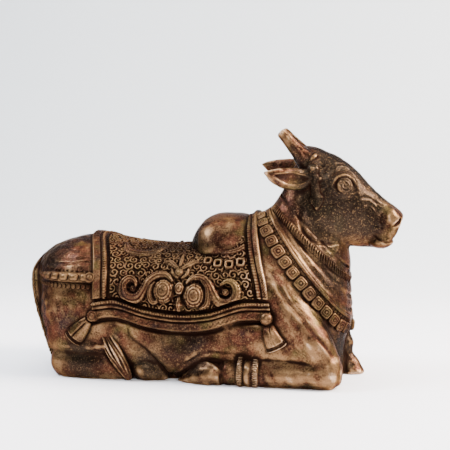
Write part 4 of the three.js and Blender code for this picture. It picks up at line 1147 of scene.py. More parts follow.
clothSheets = {right: makeCloth(right, "clothRight"), left: makeCloth(left, "clothLeft")}


# Beads and ribs: small turned shapes, set along lines by one geometry node tree

def addNode(tree, kind, values=None, **settings):  # a node with its settings, and values or links by socket
    node = tree.nodes.new(kind)
    for name, value in settings.items():
        setattr(node, name, value)
    for socket, value in (values or {}).items():
        if isinstance(value, bpy.types.NodeSocket):
            tree.links.new(value, node.inputs[socket])
        else:
            node.inputs[socket].default_value = value
    return node


def beadTree(material):
    tree = bpy.data.node_groups.new("beadsAlongLine", "GeometryNodeTree")
    face = tree.interface
    face.new_socket("Line", in_out="INPUT", socket_type="NodeSocketGeometry")
    face.new_socket("Bead", in_out="INPUT", socket_type="NodeSocketObject")
    for name, start in (("Size", 1.0), ("Uneven", 0.04), ("Sway", 0.06)):
        face.new_socket(name, in_out="INPUT", socket_type="NodeSocketFloat").default_value = start
    face.new_socket("Seed", in_out="INPUT", socket_type="NodeSocketInt").default_value = 3
    face.new_socket("Beads", in_out="OUTPUT", socket_type="NodeSocketGeometry")
    enter = addNode(tree, "NodeGroupInput").outputs
    out = addNode(tree, "GeometryNodeInputNamedAttribute", {"Name": "outward"}, data_type="FLOAT_VECTOR")
    ahead = addNode(tree, "GeometryNodeInputNamedAttribute", {"Name": "along"}, data_type="FLOAT_VECTOR")
    own = addNode(tree, "GeometryNodeInputNamedAttribute", {"Name": "size"}, data_type="FLOAT")
    turn = addNode(tree, "FunctionNodeAxesToRotation", {
        "Primary Axis": out.outputs["Attribute"], "Secondary Axis": ahead.outputs["Attribute"]},
        primary_axis="Z", secondary_axis="X")
    sway = addNode(tree, "ShaderNodeVectorMath", {0: (1, 1, 1), "Scale": enter["Sway"]}, operation="SCALE")
    back = addNode(tree, "ShaderNodeVectorMath", {0: sway.outputs[0], "Scale": -1.0}, operation="SCALE")
    tilt = addNode(tree, "FunctionNodeRandomValue", {
        "Min": back.outputs[0], "Max": sway.outputs[0], "Seed": enter["Seed"]}, data_type="FLOAT_VECTOR")
    tilted = addNode(tree, "FunctionNodeRotateRotation", {
        "Rotation": turn.outputs[0], "Rotate By": tilt.outputs["Value"]}, rotation_space="LOCAL")
    less = addNode(tree, "ShaderNodeMath", {0: 1.0, 1: enter["Uneven"]}, operation="SUBTRACT")
    more = addNode(tree, "ShaderNodeMath", {0: 1.0, 1: enter["Uneven"]}, operation="ADD")
    vary = addNode(tree, "FunctionNodeRandomValue", {
        "Min": less.outputs[0], "Max": more.outputs[0], "Seed": enter["Seed"]}, data_type="FLOAT")
    scaled = addNode(tree, "ShaderNodeMath", {
        0: vary.outputs["Value"], 1: own.outputs["Attribute"]}, operation="MULTIPLY")
    size = addNode(tree, "ShaderNodeMath", {0: scaled.outputs[0], 1: enter["Size"]}, operation="MULTIPLY")
    bead = addNode(tree, "GeometryNodeObjectInfo", {"Object": enter["Bead"]})
    instances = addNode(tree, "GeometryNodeInstanceOnPoints", {
        "Points": enter["Line"], "Instance": bead.outputs["Geometry"],
        "Rotation": tilted.outputs[0], "Scale": size.outputs[0]})
    real = addNode(tree, "GeometryNodeRealizeInstances", {"Geometry": instances.outputs["Instances"]})
    coat = addNode(tree, "GeometryNodeSetMaterial", {
        "Geometry": real.outputs["Geometry"], "Material": material})
    addNode(tree, "NodeGroupOutput", {"Beads": coat.outputs["Geometry"]})
    return tree


def button(half, rows, corner=2.0, sides=24, long=1.0):
    # a closed turned shape about +Z: rows are shares of the half width and heights, from rim to middle;
    # corner over 2 makes it squarish, long stretches it along X
    turn = np.linspace(0, 2 * np.pi, sides, endpoint=False)
    reach = half * (np.abs(np.cos(turn)) ** corner + np.abs(np.sin(turn)) ** corner) ** (-1 / corner)
    x, y = long * reach * np.cos(turn), reach * np.sin(turn)
    return loft([np.column_stack([share * x, share * y, np.full(sides, high)]) for share, high in rows])


beadForms = {  # half width in mm, sides, and rows as button wants them
    "pearl": {"half": 0.52, "sides": 8, "rows": [
        (0.9, -0.5), (1, 0), (0.85, 0.32), (0.5, 0.52), (0.2, 0.58)]},
    "scallop": {"half": 0.95, "sides": 12, "rows": [
        (1, -0.8), (1, 0.2), (0.86, 0.6), (0.62, 0.78), (0.45, 0.5), (0.25, 0.72), (0.1, 0.75)]},
    "rib": {"half": 1.75, "sides": 14, "long": 0.26, "rows": [
        (0.8, -0.9), (1, 0.0), (0.9, 0.4), (0.6, 0.8), (0.25, 0.95)]},
    "neckBead": {"half": 2.28, "sides": 32, "corner": 4.2, "rows": [
        (0.9, -1.6), (1, -0.6), (1, 0.5), (0.93, 1.05), (0.8, 1.3), (0.7, 1.28), (0.63, 1.0), (0.56, 1.28),
        (0.42, 1.42), (0.32, 1.36), (0.26, 1.05), (0.2, 1.36), (0.1, 1.55)]},
    "strapBead": {"half": 1.5, "sides": 20, "corner": 3.4, "long": 1.35, "rows": [
        (0.8, -1.5), (1, -0.4), (0.96, 0.5), (0.75, 1.15), (0.4, 1.5), (0.15, 1.58)]},
    "knob": {"half": 2.2, "sides": 28, "corner": 2.3, "rows": [
        (0.95, -1.8), (1, 0.6), (0.93, 1.4), (0.78, 1.75), (0.64, 1.7), (0.57, 1.3), (0.48, 1.65),
        (0.3, 1.85), (0.12, 1.9)]},
    "cornerBead": {"half": 2.5, "sides": 10, "rows": [
        (0.7, -1.8), (0.98, -0.4), (1, 0.4), (0.9, 1.3), (0.7, 1.9), (0.42, 2.3), (0.15, 2.45)]},
}
beadShapes = {name: makeObject(name + "Shape", *button(**form)) for name, form in beadForms.items()}
brass = bpy.data.materials.new("patinatedCastBrass")
beadsAlongLine = beadTree(brass)


def beadLine(name, form, places, away, ahead, sizes=None, **inputs):  # beads at places, baked to a mesh
    holder = makeObject(name, places, [])
    for key, values in {"outward": away, "along": ahead}.items():
        holder.data.attributes.new(key, "FLOAT_VECTOR", "POINT").data.foreach_set("vector", np.ravel(values))
    sizes = np.ones(len(places)) if sizes is None else sizes
    holder.data.attributes.new("size", "FLOAT", "POINT").data.foreach_set("value", sizes)
    grow = holder.modifiers.new("beads", "NODES")
    grow.node_group = beadsAlongLine
    wanted = {"Bead": beadShapes[form], **inputs}
    for item in beadsAlongLine.interface.items_tree:
        if item.in_out == "INPUT" and item.name in wanted:
            grow[item.identifier] = wanted[item.name]
    view = bpy.context.evaluated_depsgraph_get()
    mesh = bpy.data.meshes.new_from_object(holder.evaluated_get(view))
    holder.modifiers.remove(grow)
    mesh.shade_smooth()
    holder.data = mesh
    keep(holder)


# Necklaces: square beads with a scalloped edge, a plain band above them, and a twisted rope at the throat

collarBeads = {
    "pitch": 4.85, "lift": -0.1, "top": 62.6,  # worn off above this height, at the nape
    "scallopPitch": 1.85, "scallopAcross": 2.7, "scallopSunk": 0.35, "ropePitch": 1.12, "ropeLift": 0.3,
}
ringBands = {  # half width, half height, lift and number of points
    "ridge": ("neckBand", 0.8, 0.85, 0.1, 120),
    "rope": ("ropeCore", 1.55, 0.6, 0.0, 160),
}


def makeRingBand(key):  # a smooth band round the neck, whose end goes a little way over its start
    name, wide, high, lift, count = ringBands[key]
    points, ways = collarRing(body, **necklaces[key], count=count)
    knots = np.column_stack([points + ways * lift, np.full((count, 2), (wide, high))])
    knots, ways = np.vstack([knots, knots[:3]]), np.vstack([ways, ways[:3]])
    keep(makeObject(name, *limb(knots, sides=16, fine=0.9, ends=0.3, ways=ways)))


def ringSpots(key, pitch):  # even places round a necklace, and the ways out of, along and across it
    points, ways = collarRing(body, **necklaces[key], count=160)
    line = evenLine(np.hstack([points, ways]), pitch, closed=True)
    away, ahead = unit(line[:, 3:]), alongOf(line[:, :3], closed=True)
    return line[:, :3], away, ahead, np.cross(away, ahead)


def makeNecklaces():
    look = collarBeads
    spots, away, ahead, across = ringSpots("beads", look["pitch"])
    spots = spots + away * look["lift"]
    low = spots[:, 2] < look["top"]
    beadLine("neckBeads", "neckBead", spots[low], away[low], ahead[low],
             Size=1.05, Uneven=0.06, Sway=0.09, Seed=4)
    spots, away, ahead, across = ringSpots("beads", look["scallopPitch"])
    spots = spots + across * look["scallopAcross"] - away * look["scallopSunk"]
    low = spots[:, 2] < look["top"]
    beadLine("neckScallops", "scallop", spots[low], away[low], ahead[low], Size=0.95, Uneven=0.12, Sway=0.15)
    makeRingBand("ridge")
    makeRingBand("rope")
    spots, away, ahead, across = ringSpots("rope", look["ropePitch"])
    slanted = across * 0.5 + ahead * 0.85
    spots = spots + away * look["ropeLift"]
    beadLine("ropeRibs", "rib", spots, away, slanted, Size=1.0, Uneven=0.08, Sway=0.08)


makeNecklaces()


# Pearls along the borders of the cloth

pearls = {"pitch": 1.06, "lift": 1.65, "aboveHem": 7.2}


def borderLine(which, key, wanted):  # places on the cloth at one distance from its back edge or its hem
    base, ways, sheet = clothSheets[which]
    rows, columns = (np.arange(size) for size in base.shape[:2])
    gap = np.abs(sheet[key] - wanted)
    if key == "fromBack":
        columns = gap.argmin(1)
        rows, columns = (side[sheet["up"][rows, columns] > pearls["aboveHem"]] for side in (rows, columns))
    else:
        rows = gap.argmin(0)
    line = np.hstack([base[rows, columns] + ways[rows, columns] * pearls["lift"], ways[rows, columns]])
    return evenLine(line[::4], pearls["pitch"])


def makePearls():
    lines = [borderLine(which, key, borders["cords"][border])
             for which in (right, left) for key, border in (("fromBack", "back"), ("up", "hem"))]
    ahead = np.vstack([alongOf(line[:, :3]) for line in lines])
    line = np.vstack(lines)
    beadLine("borderPearls", "pearl", line[:, :3], unit(line[:, 3:]), ahead, Uneven=0.14, Sway=0.3)


makePearls()


# Crupper: a strap of long beads round the rump between two rows of little bells, and the tail

crupper = {
    "start": -36.2, "turn": -56.0, "end": -70.2, "height": 38.5, "strap": (2.1, 1.1),
    "fadeFrom": -56.0, "fadeTo": -67.0, "least": 0.55,  # the beads get smaller and lower towards the tail
    "beadPitch": 4.3, "beadRise": 3.0, "beadSunk": 2.45,
    "bellPitch": 1.95, "bells": (("crupperBellsLow", -3.1, 1.0), ("crupperBellsHigh", 2.7, 0.55)),
}
tailTwist = {"pitch": 1.3, "top": 44, "low": 6, "sunk": 0.45, "way": (-0.35, right, 0)}


def crupperLine(which, rise, steps=60):  # from the cloth back round the rump, with the ways out of the body
    share = np.linspace(0, 1, steps)
    away = unit(np.column_stack([-0.12 - 0.9 * share**2.2, which * (1.02 - share**2), np.zeros(steps)]))
    x = np.maximum(crupper["start"] + (crupper["end"] - crupper["start"]) * share**1.1, crupper["turn"])
    target = np.column_stack([x, np.zeros(steps), crupper["height"] + 0.8 * share + rise])
    points = met(body, target + away * 80, -away)
    return np.hstack([points, outward(body, points)])


def shrunk(places):  # share of the full size, along the strap
    return np.interp(places[:, 0], [crupper["fadeTo"], crupper["fadeFrom"]], [crupper["least"], 1.0])


def makeTailTwist():  # the tail is twisted like a rope down to where it goes under the leg
    line = evenLine(smoothLine(sided(tail, right), 60), tailTwist["pitch"])
    line = line[(line[:, 2] < tailTwist["top"]) & (line[:, 2] > tailTwist["low"])]
    away = np.tile(unit(np.array(tailTwist["way"])), (len(line), 1))
    ahead = alongOf(line[:, :3])
    slanted = unit(np.cross(away, ahead)) * 0.75 + ahead * 0.66
    spots = line[:, :3] + away * (line[:, 3:4] - tailTwist["sunk"])
    beadLine("tailTwist", "rib", spots, away, slanted, Uneven=0.1, Sway=0.1)


def makeCrupper(which, side):
    line = crupperLine(which, 0)
    small = shrunk(line)[:, None]
    knots = np.hstack([line[:, :3] - line[:, 3:] * (1 - small) * 2, small * crupper["strap"]])
    keep(makeObject("crupperStrap" + side, *limb(knots, sides=18, fine=0.6, ends=0.3, ways=line[:, 3:])))
    spots = evenLine(line[4:], crupper["beadPitch"])
    away, small = unit(spots[:, 3:]), shrunk(spots)
    lifted = spots[:, :3] + away * (small[:, None] * crupper["beadRise"] - crupper["beadSunk"])
    beadLine("crupperBeads" + side, "strapBead", lifted, away, alongOf(spots[:, :3]), small,
             Uneven=0.06, Sway=0.06)
    for name, rise, size in crupper["bells"]:
        spots = evenLine(crupperLine(which, rise), crupper["bellPitch"])
        away, small = unit(spots[:, 3:]), shrunk(spots)
        beadLine(name + side, "scallop", spots[:, :3] - away * (0.95 - small[:, None]), away,
                 alongOf(spots[:, :3]), small, Size=size, Uneven=0.12, Sway=0.15)
    knob = line[:1, :3] + line[:1, 3:] * 0.6 + (0.4, 0, 0)
    beadLine("crupperKnob" + side, "knob", knob, line[:1, 3:], [(1, 0, 0)], Size=0.95, Uneven=0.0, Sway=0.0)


makeTailTwist()
makeCrupper(right, "Right")
makeCrupper(left, "Left")


# Anklet ribs, and the tassels at the corners of the cloth

def makeAnkletRibs():
    y, z = anklets["middle"]
    turn = np.arange(0, 2 * np.pi, anklets["ribPitch"] / anklets["ribRadius"])
    none, across, up = np.zeros(len(turn)), np.cos(turn), np.sin(turn)
    wide, high = anklets["ribLine"]
    lines = []
    for x in anklets["places"][::2]:
        spots = [none + x, y * right + wide * across, z + high * up]
        line = np.column_stack([*spots, none, across, up, none, -up, across])
        lines.append(line[(line[:, 2] > 0.7) & (line[:, 1] < -16)])  # what shows above the ground
    line = np.vstack(lines)
    beadLine("ankletRibs", "rib", line[:, :3], line[:, 3:6], line[:, 6:], Size=anklets["ribSize"],
             Uneven=0.1, Sway=0.12)


makeAnkletRibs()

tassels = {
    # places [x, z] on the flank from top to end, half width, and half thickness
    "front": [[29.6, 23.4, 2.2, 1.6], [30.6, 20.4, 2.9, 2.1], [31.9, 17.4, 3.6, 2.4], [33.0, 15.2, 4.2, 2.5]],
    "back": [
        [-39.2, 23.0, 1.8, 1.2], [-41.4, 20.4, 3.0, 1.9], [-43.8, 17.6, 3.8, 2.3], [-45.6, 15.4, 3.7, 2.1]],
    "mouth": {"front": 0.85, "back": 0.5}, "mouthRows": ((-1.9, 0.6), (-0.8, 0.9), (0.6, 1.0)), "lip": 0.75,
    # lines down a tassel: shares of the half width, and radius
    "lines": {"front": ((0.1, 0.2),), "back": ((-0.62, 0.3), (-0.1, 0.4), (0.5, 0.35))},
    "corners": {"front": ([29.2, 25.4], "cornerBead"), "back": ([-36.9, 24.6], "knob")}, "cornerLift": 1.1,
    "box": ((-52, 42), (14, 33), (8, 32)), "voxel": 0.26,  # x, y outwards and z
}


def addTassel(clay, name, which):
    rows = np.array(tassels[name])
    wide, thick = rows[-1, 2:]
    spots = onFlank(body, rows[:, :2], which)
    away = outward(body, spots)
    middle = spots + away * 0.5
    knots = np.column_stack([middle, rows[:, 2:]])
    add(clay, limb(knots, sides=32, fine=0.4, ends=0.25, ways=away), soft=0.1)
    ahead = unit(middle[-1] - middle[-2])
    across = np.cross(away[-1], ahead)
    half, deep = wide * tassels["mouth"][name], thick * 0.72
    end = middle[-1] + ahead * 0.9
    pit = [[*(end + ahead * place), half * share, deep * share] for place, share in tassels["mouthRows"]]
    carve(clay, limb(pit, sides=28, fine=0.3, ends=0.6, ways=np.tile(away[-1], (3, 1))), soft=0.25)
    arc = np.linspace(-1.35, 1.35, 15)[:, None]  # the mouth, seen as a dark crescent above the lip
    bow = across * np.sin(arc) * wide * 0.98 + away[-1] * np.cos(arc) * thick * 0.98
    bow = middle[-1] + bow + ahead * (0.4 * np.cos(arc) - 1.2)
    carve(clay, ropeOf(bow, tassels["lip"], fine=0.4), soft=0.15)
    for share, radius in tassels["lines"][name]:
        line = middle + away * (rows[:, 3:] + 0.02) * 0.96 + across * rows[:, 2:3] * share
        carve(clay, limb(taper(smoothLine(line, 12), radius), sides=10, fine=0.4), soft=0.2)


def makeTassels(which, side):
    x, y, z = tassels["box"]
    clay = newClay(*zip(x, sorted(which * place for place in y), z), tassels["voxel"])
    for name in ("front", "back"):
        addTassel(clay, name, which)
    keep(makeObject("tassels" + side, *skinOf(clay)))
    away = unit(np.array([[0, which, 0.12]]))
    for name, (place, form) in tassels["corners"].items():
        spot = onFlank(body, [place], which) + away * tassels["cornerLift"]
        beadLine(name + "CornerBead" + side, form, spot, away, [(1.0, 0, 0.2)], Uneven=0.0, Sway=0.0)


makeTassels(right, "Right")
makeTassels(left, "Left")
for shape in beadShapes.values():
    bpy.data.objects.remove(shape)


# Patina and painted light, as three attributes: hollow (dark patina and painted shade), worn and highlit,
# darkened

patina = {
    "voxel": 0.4, "fineRounds": 3, "wideRounds": 14,
    # the room shut round a point darkens it like ambient occlusion: painted shade in the hollows
    "reaches": ((0.5, 0.3), (1.4, 0.35), (3.2, 0.35)),  # how far out the free room is measured, and its share
    "sharp": 0.05, "broad": 0.18,  # how far a point stands out, in mm, when it counts in full
    "hollowShares": (1.25, 0.35, 0.4),  # of shut room, of a sharp dent and of a broad one
    "wornAndHighlitShares": (0.5, 0.7, 0.6),  # of a sharp rise and of a broad one, less this share of the hollow
    # by the start of a piece's name: shares of worn and highlit value and of hollow that stay, and how much
    # darker it is
    "pieces": {
        "rope": (0.45, 1, 0), "neckBand": (0.4, 1, 0), "crupper": (0.6, 1, 0.1), "neck": (0.7, 1, 0.04),
        "tailTwist": (0.7, 1, 0), "border": (0.7, 1, 0), "cloth": (0.75, 0.66, 0.1),
        "frontCorner": (0.5, 1, 0), "backCorner": (0.4, 1, 0)},
    # x, y outwards, z and reach of a spot, and how much a darker spot darkens and a lighter spot lightens;
    # darker spots over the nose ridge are painted shade, lighter ones on the hump, eyelid, nostril, horn and
    # arm ridge painted highlights
    "tarnished": [
        (52, 11, 62, 12, 0.4), (46, 12, 74, 9, 0.34), (58, 6, 74, 8, 0.3), (50, 6, 86, 10, 0.36),
        (66, 8, 58, 7, 0.34), (65, 5, 72, 7, 0.5), (60, 5, 77, 6, 0.3), (44, 15, 50, 13, 0.14),
        (52, 12, 36, 8, 0.26), (40, 18, 38, 6, 0.2), (50, 13, 42, 9, 0.14), (56, 8, 12, 9, 0.5),
        (48, 19, 21, 6, 0.35), (42, 19, 32, 6, 0.35), (53, 17, 14, 5, 0.3), (66, 1, 73, 7, 0.35),
        (22, 29, 5, 4, 0.25), (-44, 28, 13, 6, 0.2), (17, 26, 3, 4, 0.2), (-2, 26, 16, 15, 0.28),
        (-42, 27, 7, 9, 0.36), (-17, 24, 5, 7, 0.44), (4, 24, 4, 6, 0.2), (-60, 10, 46, 9, 0.3),
        (-12, 14, 50, 16, 0.36), (10, 20, 47, 8, 0.14), (22, 0, 64, 8, 0.3), (43, 11, 79, 4, 0.3),
        (44, 13, 69, 5, 0.25)],
    "rubbedAndHighlit": [
        (50, 22, 8, 9, 0.34), (36, 24, 22, 7, 0.38), (43, 25, 14, 6, 0.3), (36, 24, 5, 12, 0.28),
        (-58, 20, 30, 8, 0.4), (-50, 25, 26, 8, 0.25), (74, 7, 61, 4, 0.6), (55, 11, 78, 2.6, 0.5),
        (-28, 28, 11, 6, 0.5), (2, 18, 57, 6, 0.5), (28, 22, 38, 9, 0.2), (-2, 22, 34, 11, 0.2),
        (34, 12, 90, 5, 0.3), (5, 25, 8, 4, 0.4), (2, 27, 33, 5, 0.25), (-10, 27, 34, 5, 0.2),
        (-3, 27, 32, 16, 0.15), (27, 22, 40, 9, 0.3)],
}


def read(items, key, width, kind=float):  # a property of all points, edges or triangles, as rows
    values = np.empty(len(items) * width, kind)
    items.foreach_get(key, values)
    return values.reshape(-1, width)


def allDistances():  # one field round all the pieces together
    points, faces, count = [], [], 0
    for piece in allPieces:
        mesh = piece.data
        mesh.calc_loop_triangles()
        points.append(read(mesh.vertices, "co", 3, np.float32) / mm)
        faces.append(read(mesh.loop_triangles, "vertices", 3, np.int32) + count)
        count += len(mesh.vertices)
    points, faces = np.vstack(points), np.vstack(faces)
    clay = newClay(points.min(0) - 5, points.max(0) + 5, patina["voxel"], band=11)
    add(clay, (points, faces))
    return clay


def spread(values, edges, rounds):  # each point's values mixed with those of its neighbours
    count = len(values)
    number = np.maximum(np.bincount(edges[:, 0], minlength=count), 1)[:, None]
    for _ in range(rounds):
        sums = [np.bincount(edges[:, 0], values[edges[:, 1], k], count) for k in range(values.shape[1])]
        values = (values + np.column_stack(sums) / number) / 2
    return values


def spotsOn(points, rows):  # the sum of soft spots, the same on both flanks
    flank = points * (1, 0, 1) + np.abs(points) * (0, 1, 0)
    total = np.zeros(len(points))
    for x, y, z, reach, amount in rows:
        total += amount * np.exp(-((flank - (x, y, z)) ** 2).sum(1) / reach**2)
    return total


def patinaAndPaintedLight(piece, field):
    mesh = piece.data
    points, normals = read(mesh.vertices, "co", 3) / mm, read(mesh.vertices, "normal", 3)
    edges = read(mesh.edges, "vertices", 2, np.int32)
    edges = np.vstack([edges, edges[:, ::-1]])
    fine = spread(points, edges, patina["fineRounds"])
    wide = spread(fine, edges, patina["wideRounds"])
    inner = 1.0  # less near the seam
    if piece.name in ("bullRear", "bullFore"):
        inner = np.clip((np.abs(points[:, 0] - seam["x"]) - seam["fadeFrom"]) / seam["fadeOver"], 0, 1)
    sharp = np.einsum("ij,ij->i", points - fine, normals) / patina["sharp"] * inner
    broad = np.einsum("ij,ij->i", fine - wide, normals) / patina["broad"] * inner
    # how shut the room round a point is: painted shade, added to the hollow with its dents
    shut = 0
    surface = points + normals * 0.15
    start = sample(field, surface)
    for reach, share in patina["reaches"]:
        openness = (sample(field, surface + normals * reach) - start) / reach
        shut = shut + share * np.clip(1 - openness, 0, 1)
    a, b, c = patina["hollowShares"]
    hollow = np.clip(shut * a + np.clip(-sharp, 0, 1) * b + np.clip(-broad, 0, 1) * c, 0, 1)
    a, b, c = patina["wornAndHighlitShares"]
    wornAndHighlit = np.clip(np.clip(sharp, 0, 1) * a + np.clip(broad, 0, 1) * b - hollow * c, 0, 1)
    # lighter spots: rubbed brass, and painted highlights on the hump, eyelid, nostril, horn and arm ridge
    wornAndHighlit = wornAndHighlit + spotsOn(points, patina["rubbedAndHighlit"])
    # darker spots; over the nose ridge they are painted shade that dims its highlight
    tarnish = spotsOn(points, patina["tarnished"])
    for name, (wornShare, hollowShare, darker) in patina["pieces"].items():
        if piece.name.startswith(name):
            wornAndHighlit, hollow = wornAndHighlit * wornShare, hollow * hollowShare + darker
            break
    kept = np.clip(spread(np.column_stack([hollow, wornAndHighlit, tarnish]), edges, 1), 0, 1).astype(np.float32)
    for name, values in zip(("hollow", "wornAndHighlit", "tarnish"), kept.T):
        mesh.attributes.new(name, "FLOAT", "POINT").data.foreach_set("value", np.ascontiguousarray(values))


field = allDistances()
for piece in allPieces:
    patinaAndPaintedLight(piece, field)
print("patina is measured")


# Material: lost-wax cast brass with a dark brown chemical patina, rubbed back by hand on what stands out,
# with painted shade in the hollows and painted highlights on a few spots

def linear(code):  # an sRGB hex value as a linear colour
    parts = [int(code[k:k + 2], 16) / 255 for k in (1, 3, 5)]
    return (*[c / 12.92 if c <= 0.04045 else ((c + 0.055) / 1.055) ** 2.4 for c in parts], 1.0)


brassLook = {
    # deep colours the dark specks, and the hollows as dark patina and painted shade; the pale rubbed colour
    # is bare brass and painted highlight
    "deep": "#190c07", "brown": "#29170f", "copper": "#4a2b1e", "gold": "#765a3d", "rubbedAndHighlit": "#e0bd9c",
    "green": "#4e4526", "violet": "#1f1a1b", "slate": "#1e1a15", "edge": "#8a7464",
    # clouds in the patina, casting grain and larger patches: size in mm, detail, roughness and shift;
    # real grain of about 0.2 mm would not show, so it is drawn three times as coarse
    "noises": {"mottle": (2.8, 5, 0.6, 0.0), "speck": (0.6, 3, 0.7, 0.3),
               "patch": (14.0, 4, 0.55, 0.9), "stain": (8.4, 3, 0.5, 2.1)},
    # coats over the brown, in their order: what each follows, from where to where, how much, and colour
    "coats": (
        ("mottle", 0.36, 0.66, 1.0, "copper"), ("patch", 0.46, 0.66, 0.8, "gold"),
        ("stain", 0.52, 0.7, 0.6, "green"), ("patch", 0.46, 0.3, 0.75, "violet"),
        ("tarnish", 0.06, 0.42, 0.92, "slate"), ("speck", 0.5, 0.34, 0.8, "deep"),
        # the slate coat follows the darker spots, some of which are painted shade
        ("speck", 0.55, 0.7, 0.65, "gold"), ("rubAndHighlight", 0.3, 0.85, 0.8, "gold"),
        # the pale coat is bare brass and painted highlight; the last, near black in deep hollows, is dark
        # patina and painted shade
        ("rubAndHighlight", 0.75, 1.3, 0.85, "rubbedAndHighlit"), ("depth", 0.1, 0.76, 0.97, "deep")),
}


def buildBrass():  # a brown metal that shines dully in the hollows, with painted shade there, and more where hands have rubbed it and where highlights are painted
    look = brassLook
    brass.use_nodes = True
    tree = brass.node_tree
    tree.nodes.clear()
    place = addNode(tree, "ShaderNodeTexCoord").outputs["Object"]
    value = {}
    for name in ("hollow", "wornAndHighlit", "tarnish"):
        value[name] = addNode(tree, "ShaderNodeAttribute", attribute_name=name).outputs["Fac"]
    for name, (size, detail, rough, shift) in look["noises"].items():
        moved = addNode(tree, "ShaderNodeMapping", {
            "Vector": place, "Location": (shift, shift * 0.7, -shift)}).outputs[0]
        noise = addNode(tree, "ShaderNodeTexNoise", {
            "Vector": moved, "Scale": 1 / (size * mm), "Detail": detail, "Roughness": rough})
        value[name] = noise.outputs["Fac"]

    def uneven(start, noise, amount):  # a value that a noise moves up and down
        swing = addNode(tree, "ShaderNodeMath", {0: value[noise], 1: 0.5}, operation="SUBTRACT").outputs[0]
        moved = addNode(tree, "ShaderNodeMath", {0: swing, 1: amount, 2: start}, operation="MULTIPLY_ADD")
        return moved.outputs[0]

    # rubbing and painted highlight take the patina off unevenly, and less where the darker spots are
    rubAndHighlight = uneven(uneven(value["wornAndHighlit"], "mottle", 0.5), "speck", 0.45)
    rubAndHighlight = addNode(tree, "ShaderNodeMath", {0: value["tarnish"], 1: -0.6, 2: rubAndHighlight}, operation="MULTIPLY_ADD")
    value["rubAndHighlight"] = rubAndHighlight.outputs[0]
    value["tarnish"] = uneven(value["tarnish"], "mottle", 0.6)
    value["depth"] = uneven(value["hollow"], "mottle", 0.5)
    colour = linear(look["brown"])
    for name, low, high, most, coat in look["coats"]:
        share = addNode(tree, "ShaderNodeMapRange", {
            "Value": value[name], "From Min": low, "From Max": high, "To Min": 0.0, "To Max": most},
            interpolation_type="SMOOTHSTEP").outputs["Result"]
        colour = addNode(tree, "ShaderNodeMix", {0: share, 6: colour, 7: linear(look[coat])},
                         data_type="RGBA").outputs[2]
    rough = addNode(tree, "ShaderNodeMapRange", {
        "Value": value["depth"], "From Min": 0.0, "From Max": 0.7, "To Min": 0.33, "To Max": 0.7},
        interpolation_type="SMOOTHSTEP")
    metal = addNode(tree, "ShaderNodeMapRange", {
        "Value": value["depth"], "From Min": 0.15, "From Max": 0.8, "To Min": 0.88, "To Max": 0.8},
        interpolation_type="SMOOTHSTEP")
    grit = addNode(tree, "ShaderNodeBump", {"Height": value["speck"], "Strength": 0.5, "Distance": 0.12 * mm})
    waves = addNode(tree, "ShaderNodeBump", {
        "Height": value["mottle"], "Strength": 0.35, "Distance": 0.5 * mm, "Normal": grit.outputs[0]})
    shader = addNode(tree, "ShaderNodeBsdfPrincipled", {
        "Base Color": colour, "Metallic": metal.outputs["Result"],
        "Roughness": uneven(rough.outputs["Result"], "speck", 0.3), "Normal": waves.outputs[0],
        "Specular Tint": linear(look["edge"])})
    addNode(tree, "ShaderNodeOutputMaterial", {"Surface": shader.outputs[0]})


buildBrass()
for piece in allPieces:
    piece.data.materials.clear()
    piece.data.materials.append(brass)
    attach(piece, "root")
    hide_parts("nandi")
print("brass is on", len(allPieces), "pieces")


# Camera at the figure's right side, and a pale studio

view = {
    "distance": 330, "pitch": math.atan(37 / 825), "azimuth": math.radians(12), "target": (8, 0, 58.4),
    "focal": 825, "frame": 450,  # both in pixels
    "sensor": 36, "farthest": 20,  # in mm, and in m
}
studio = {
    "floor": "#faf8fb", "backdrop": "#d3d8da", "greyFrom": 40, "greyTo": 420, "roughness": 0.65,
    "sky": (0.86, 0.9, 0.95, 1), "skyStrength": 0.35,
    # the sweep in mm: its near end, where it begins to bend up, radius of the bend, top, half width and steps
    "near": -800, "start": 220, "bend": 260, "top": 1600, "half": 1500, "steps": 14, "aim": (0, 0, 0.045),
    # softboxes: place in m, size in m, power in W, colour
    "lamps": {
        "rightSoftbox": ((0.55, 0.02, 0.42), (0.3, 0.3), 20.0, "#fff2e8"),
        "leftSoftbox": ((-0.42, -0.12, 0.5), (0.2, 0.2), 6.0, "#e4eeff"),
        "frontSoftbox": ((0.2, -0.7, 0.5), (0.3, 0.3), 6.0, "#ffffff"),
        "topSoftbox": ((0.0, 0.3, 1.0), (1.6, 1.2), 34.0, "#ffffff"),
    },
}


def addCamera():
    azimuth, pitch = view["azimuth"], view["pitch"]
    level = math.cos(pitch)
    ahead = Vector((-math.sin(azimuth) * level, math.cos(azimuth) * level, -math.sin(pitch)))
    data = bpy.data.cameras.new("camera")
    data.sensor_width = view["sensor"]
    data.lens = data.sensor_width * view["focal"] / view["frame"]
    data.clip_end = view["farthest"]
    camera = bpy.data.objects.new("camera", data)
    camera.location = (Vector(view["target"]) - ahead * view["distance"]) * mm
    camera.rotation_euler = ahead.to_track_quat("-Z", "Y").to_euler()
    bpy.context.scene.collection.objects.link(camera)
    bpy.context.scene.camera = camera


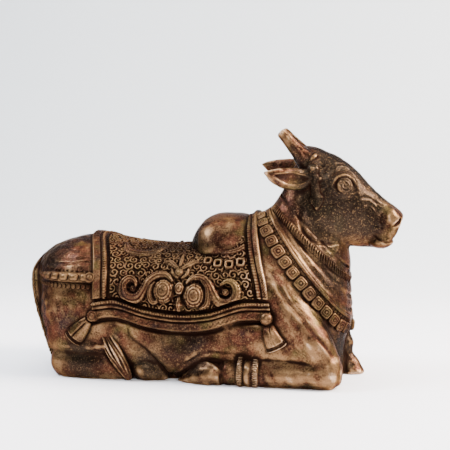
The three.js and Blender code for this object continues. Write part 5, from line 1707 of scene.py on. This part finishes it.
def sweepMaterial():  # matt wall paint, which spreads the light softly; a little greyer up the backdrop
    material = bpy.data.materials.new("matPaintedSweep")
    material.use_nodes = True
    tree = material.node_tree
    shader = tree.nodes["Principled BSDF"]
    place = addNode(tree, "ShaderNodeTexCoord").outputs["Object"]
    back = addNode(tree, "ShaderNodeSeparateXYZ", {"Vector": place}).outputs["Y"]
    share = addNode(tree, "ShaderNodeMapRange", {
        "Value": back, "From Min": studio["greyFrom"] * mm, "From Max": studio["greyTo"] * mm},
        interpolation_type="SMOOTHSTEP").outputs["Result"]
    colour = addNode(tree, "ShaderNodeMix", {
        0: share, 6: linear(studio["floor"]), 7: linear(studio["backdrop"])}, data_type="RGBA").outputs[2]
    tree.links.new(colour, shader.inputs["Base Color"])
    shader.inputs["Roughness"].default_value = studio["roughness"]
    return material


def addStudio():
    turn = np.linspace(0, np.pi / 2, studio["steps"])
    bend, start, half = studio["bend"], studio["start"], studio["half"]
    depth = np.concatenate([[studio["near"]], start + bend * np.sin(turn), [start + bend]])
    height = np.concatenate([[0], bend * (1 - np.cos(turn)), [studio["top"]]])
    points = [(x, y, z) for y, z in zip(depth, height) for x in (-half, half)]
    faces = [(2 * k, 2 * k + 1, 2 * k + 3, 2 * k + 2) for k in range(len(depth) - 1)]
    sweep = makeObject("sweep", points, faces)
    sweep.data.materials.append(sweepMaterial())
    world = bpy.data.worlds.new("studio")
    bpy.context.scene.world = world
    world.use_nodes = True
    sky = world.node_tree.nodes["Background"].inputs
    sky["Color"].default_value = studio["sky"]
    sky["Strength"].default_value = studio["skyStrength"]
    for name, (place, size, power, code) in studio["lamps"].items():
        lamp = bpy.data.lights.new(name, "AREA")
        lamp.shape = "RECTANGLE"
        lamp.size, lamp.size_y = size
        lamp.energy = power
        lamp.color = linear(code)[:3]
        holder = bpy.data.objects.new(name, lamp)
        holder.location = place
        aim = Vector(studio["aim"]) - holder.location
        holder.rotation_euler = aim.to_track_quat("-Z", "Y").to_euler()
        bpy.context.scene.collection.objects.link(holder)


addCamera()
addStudio()
print("camera and studio are set")
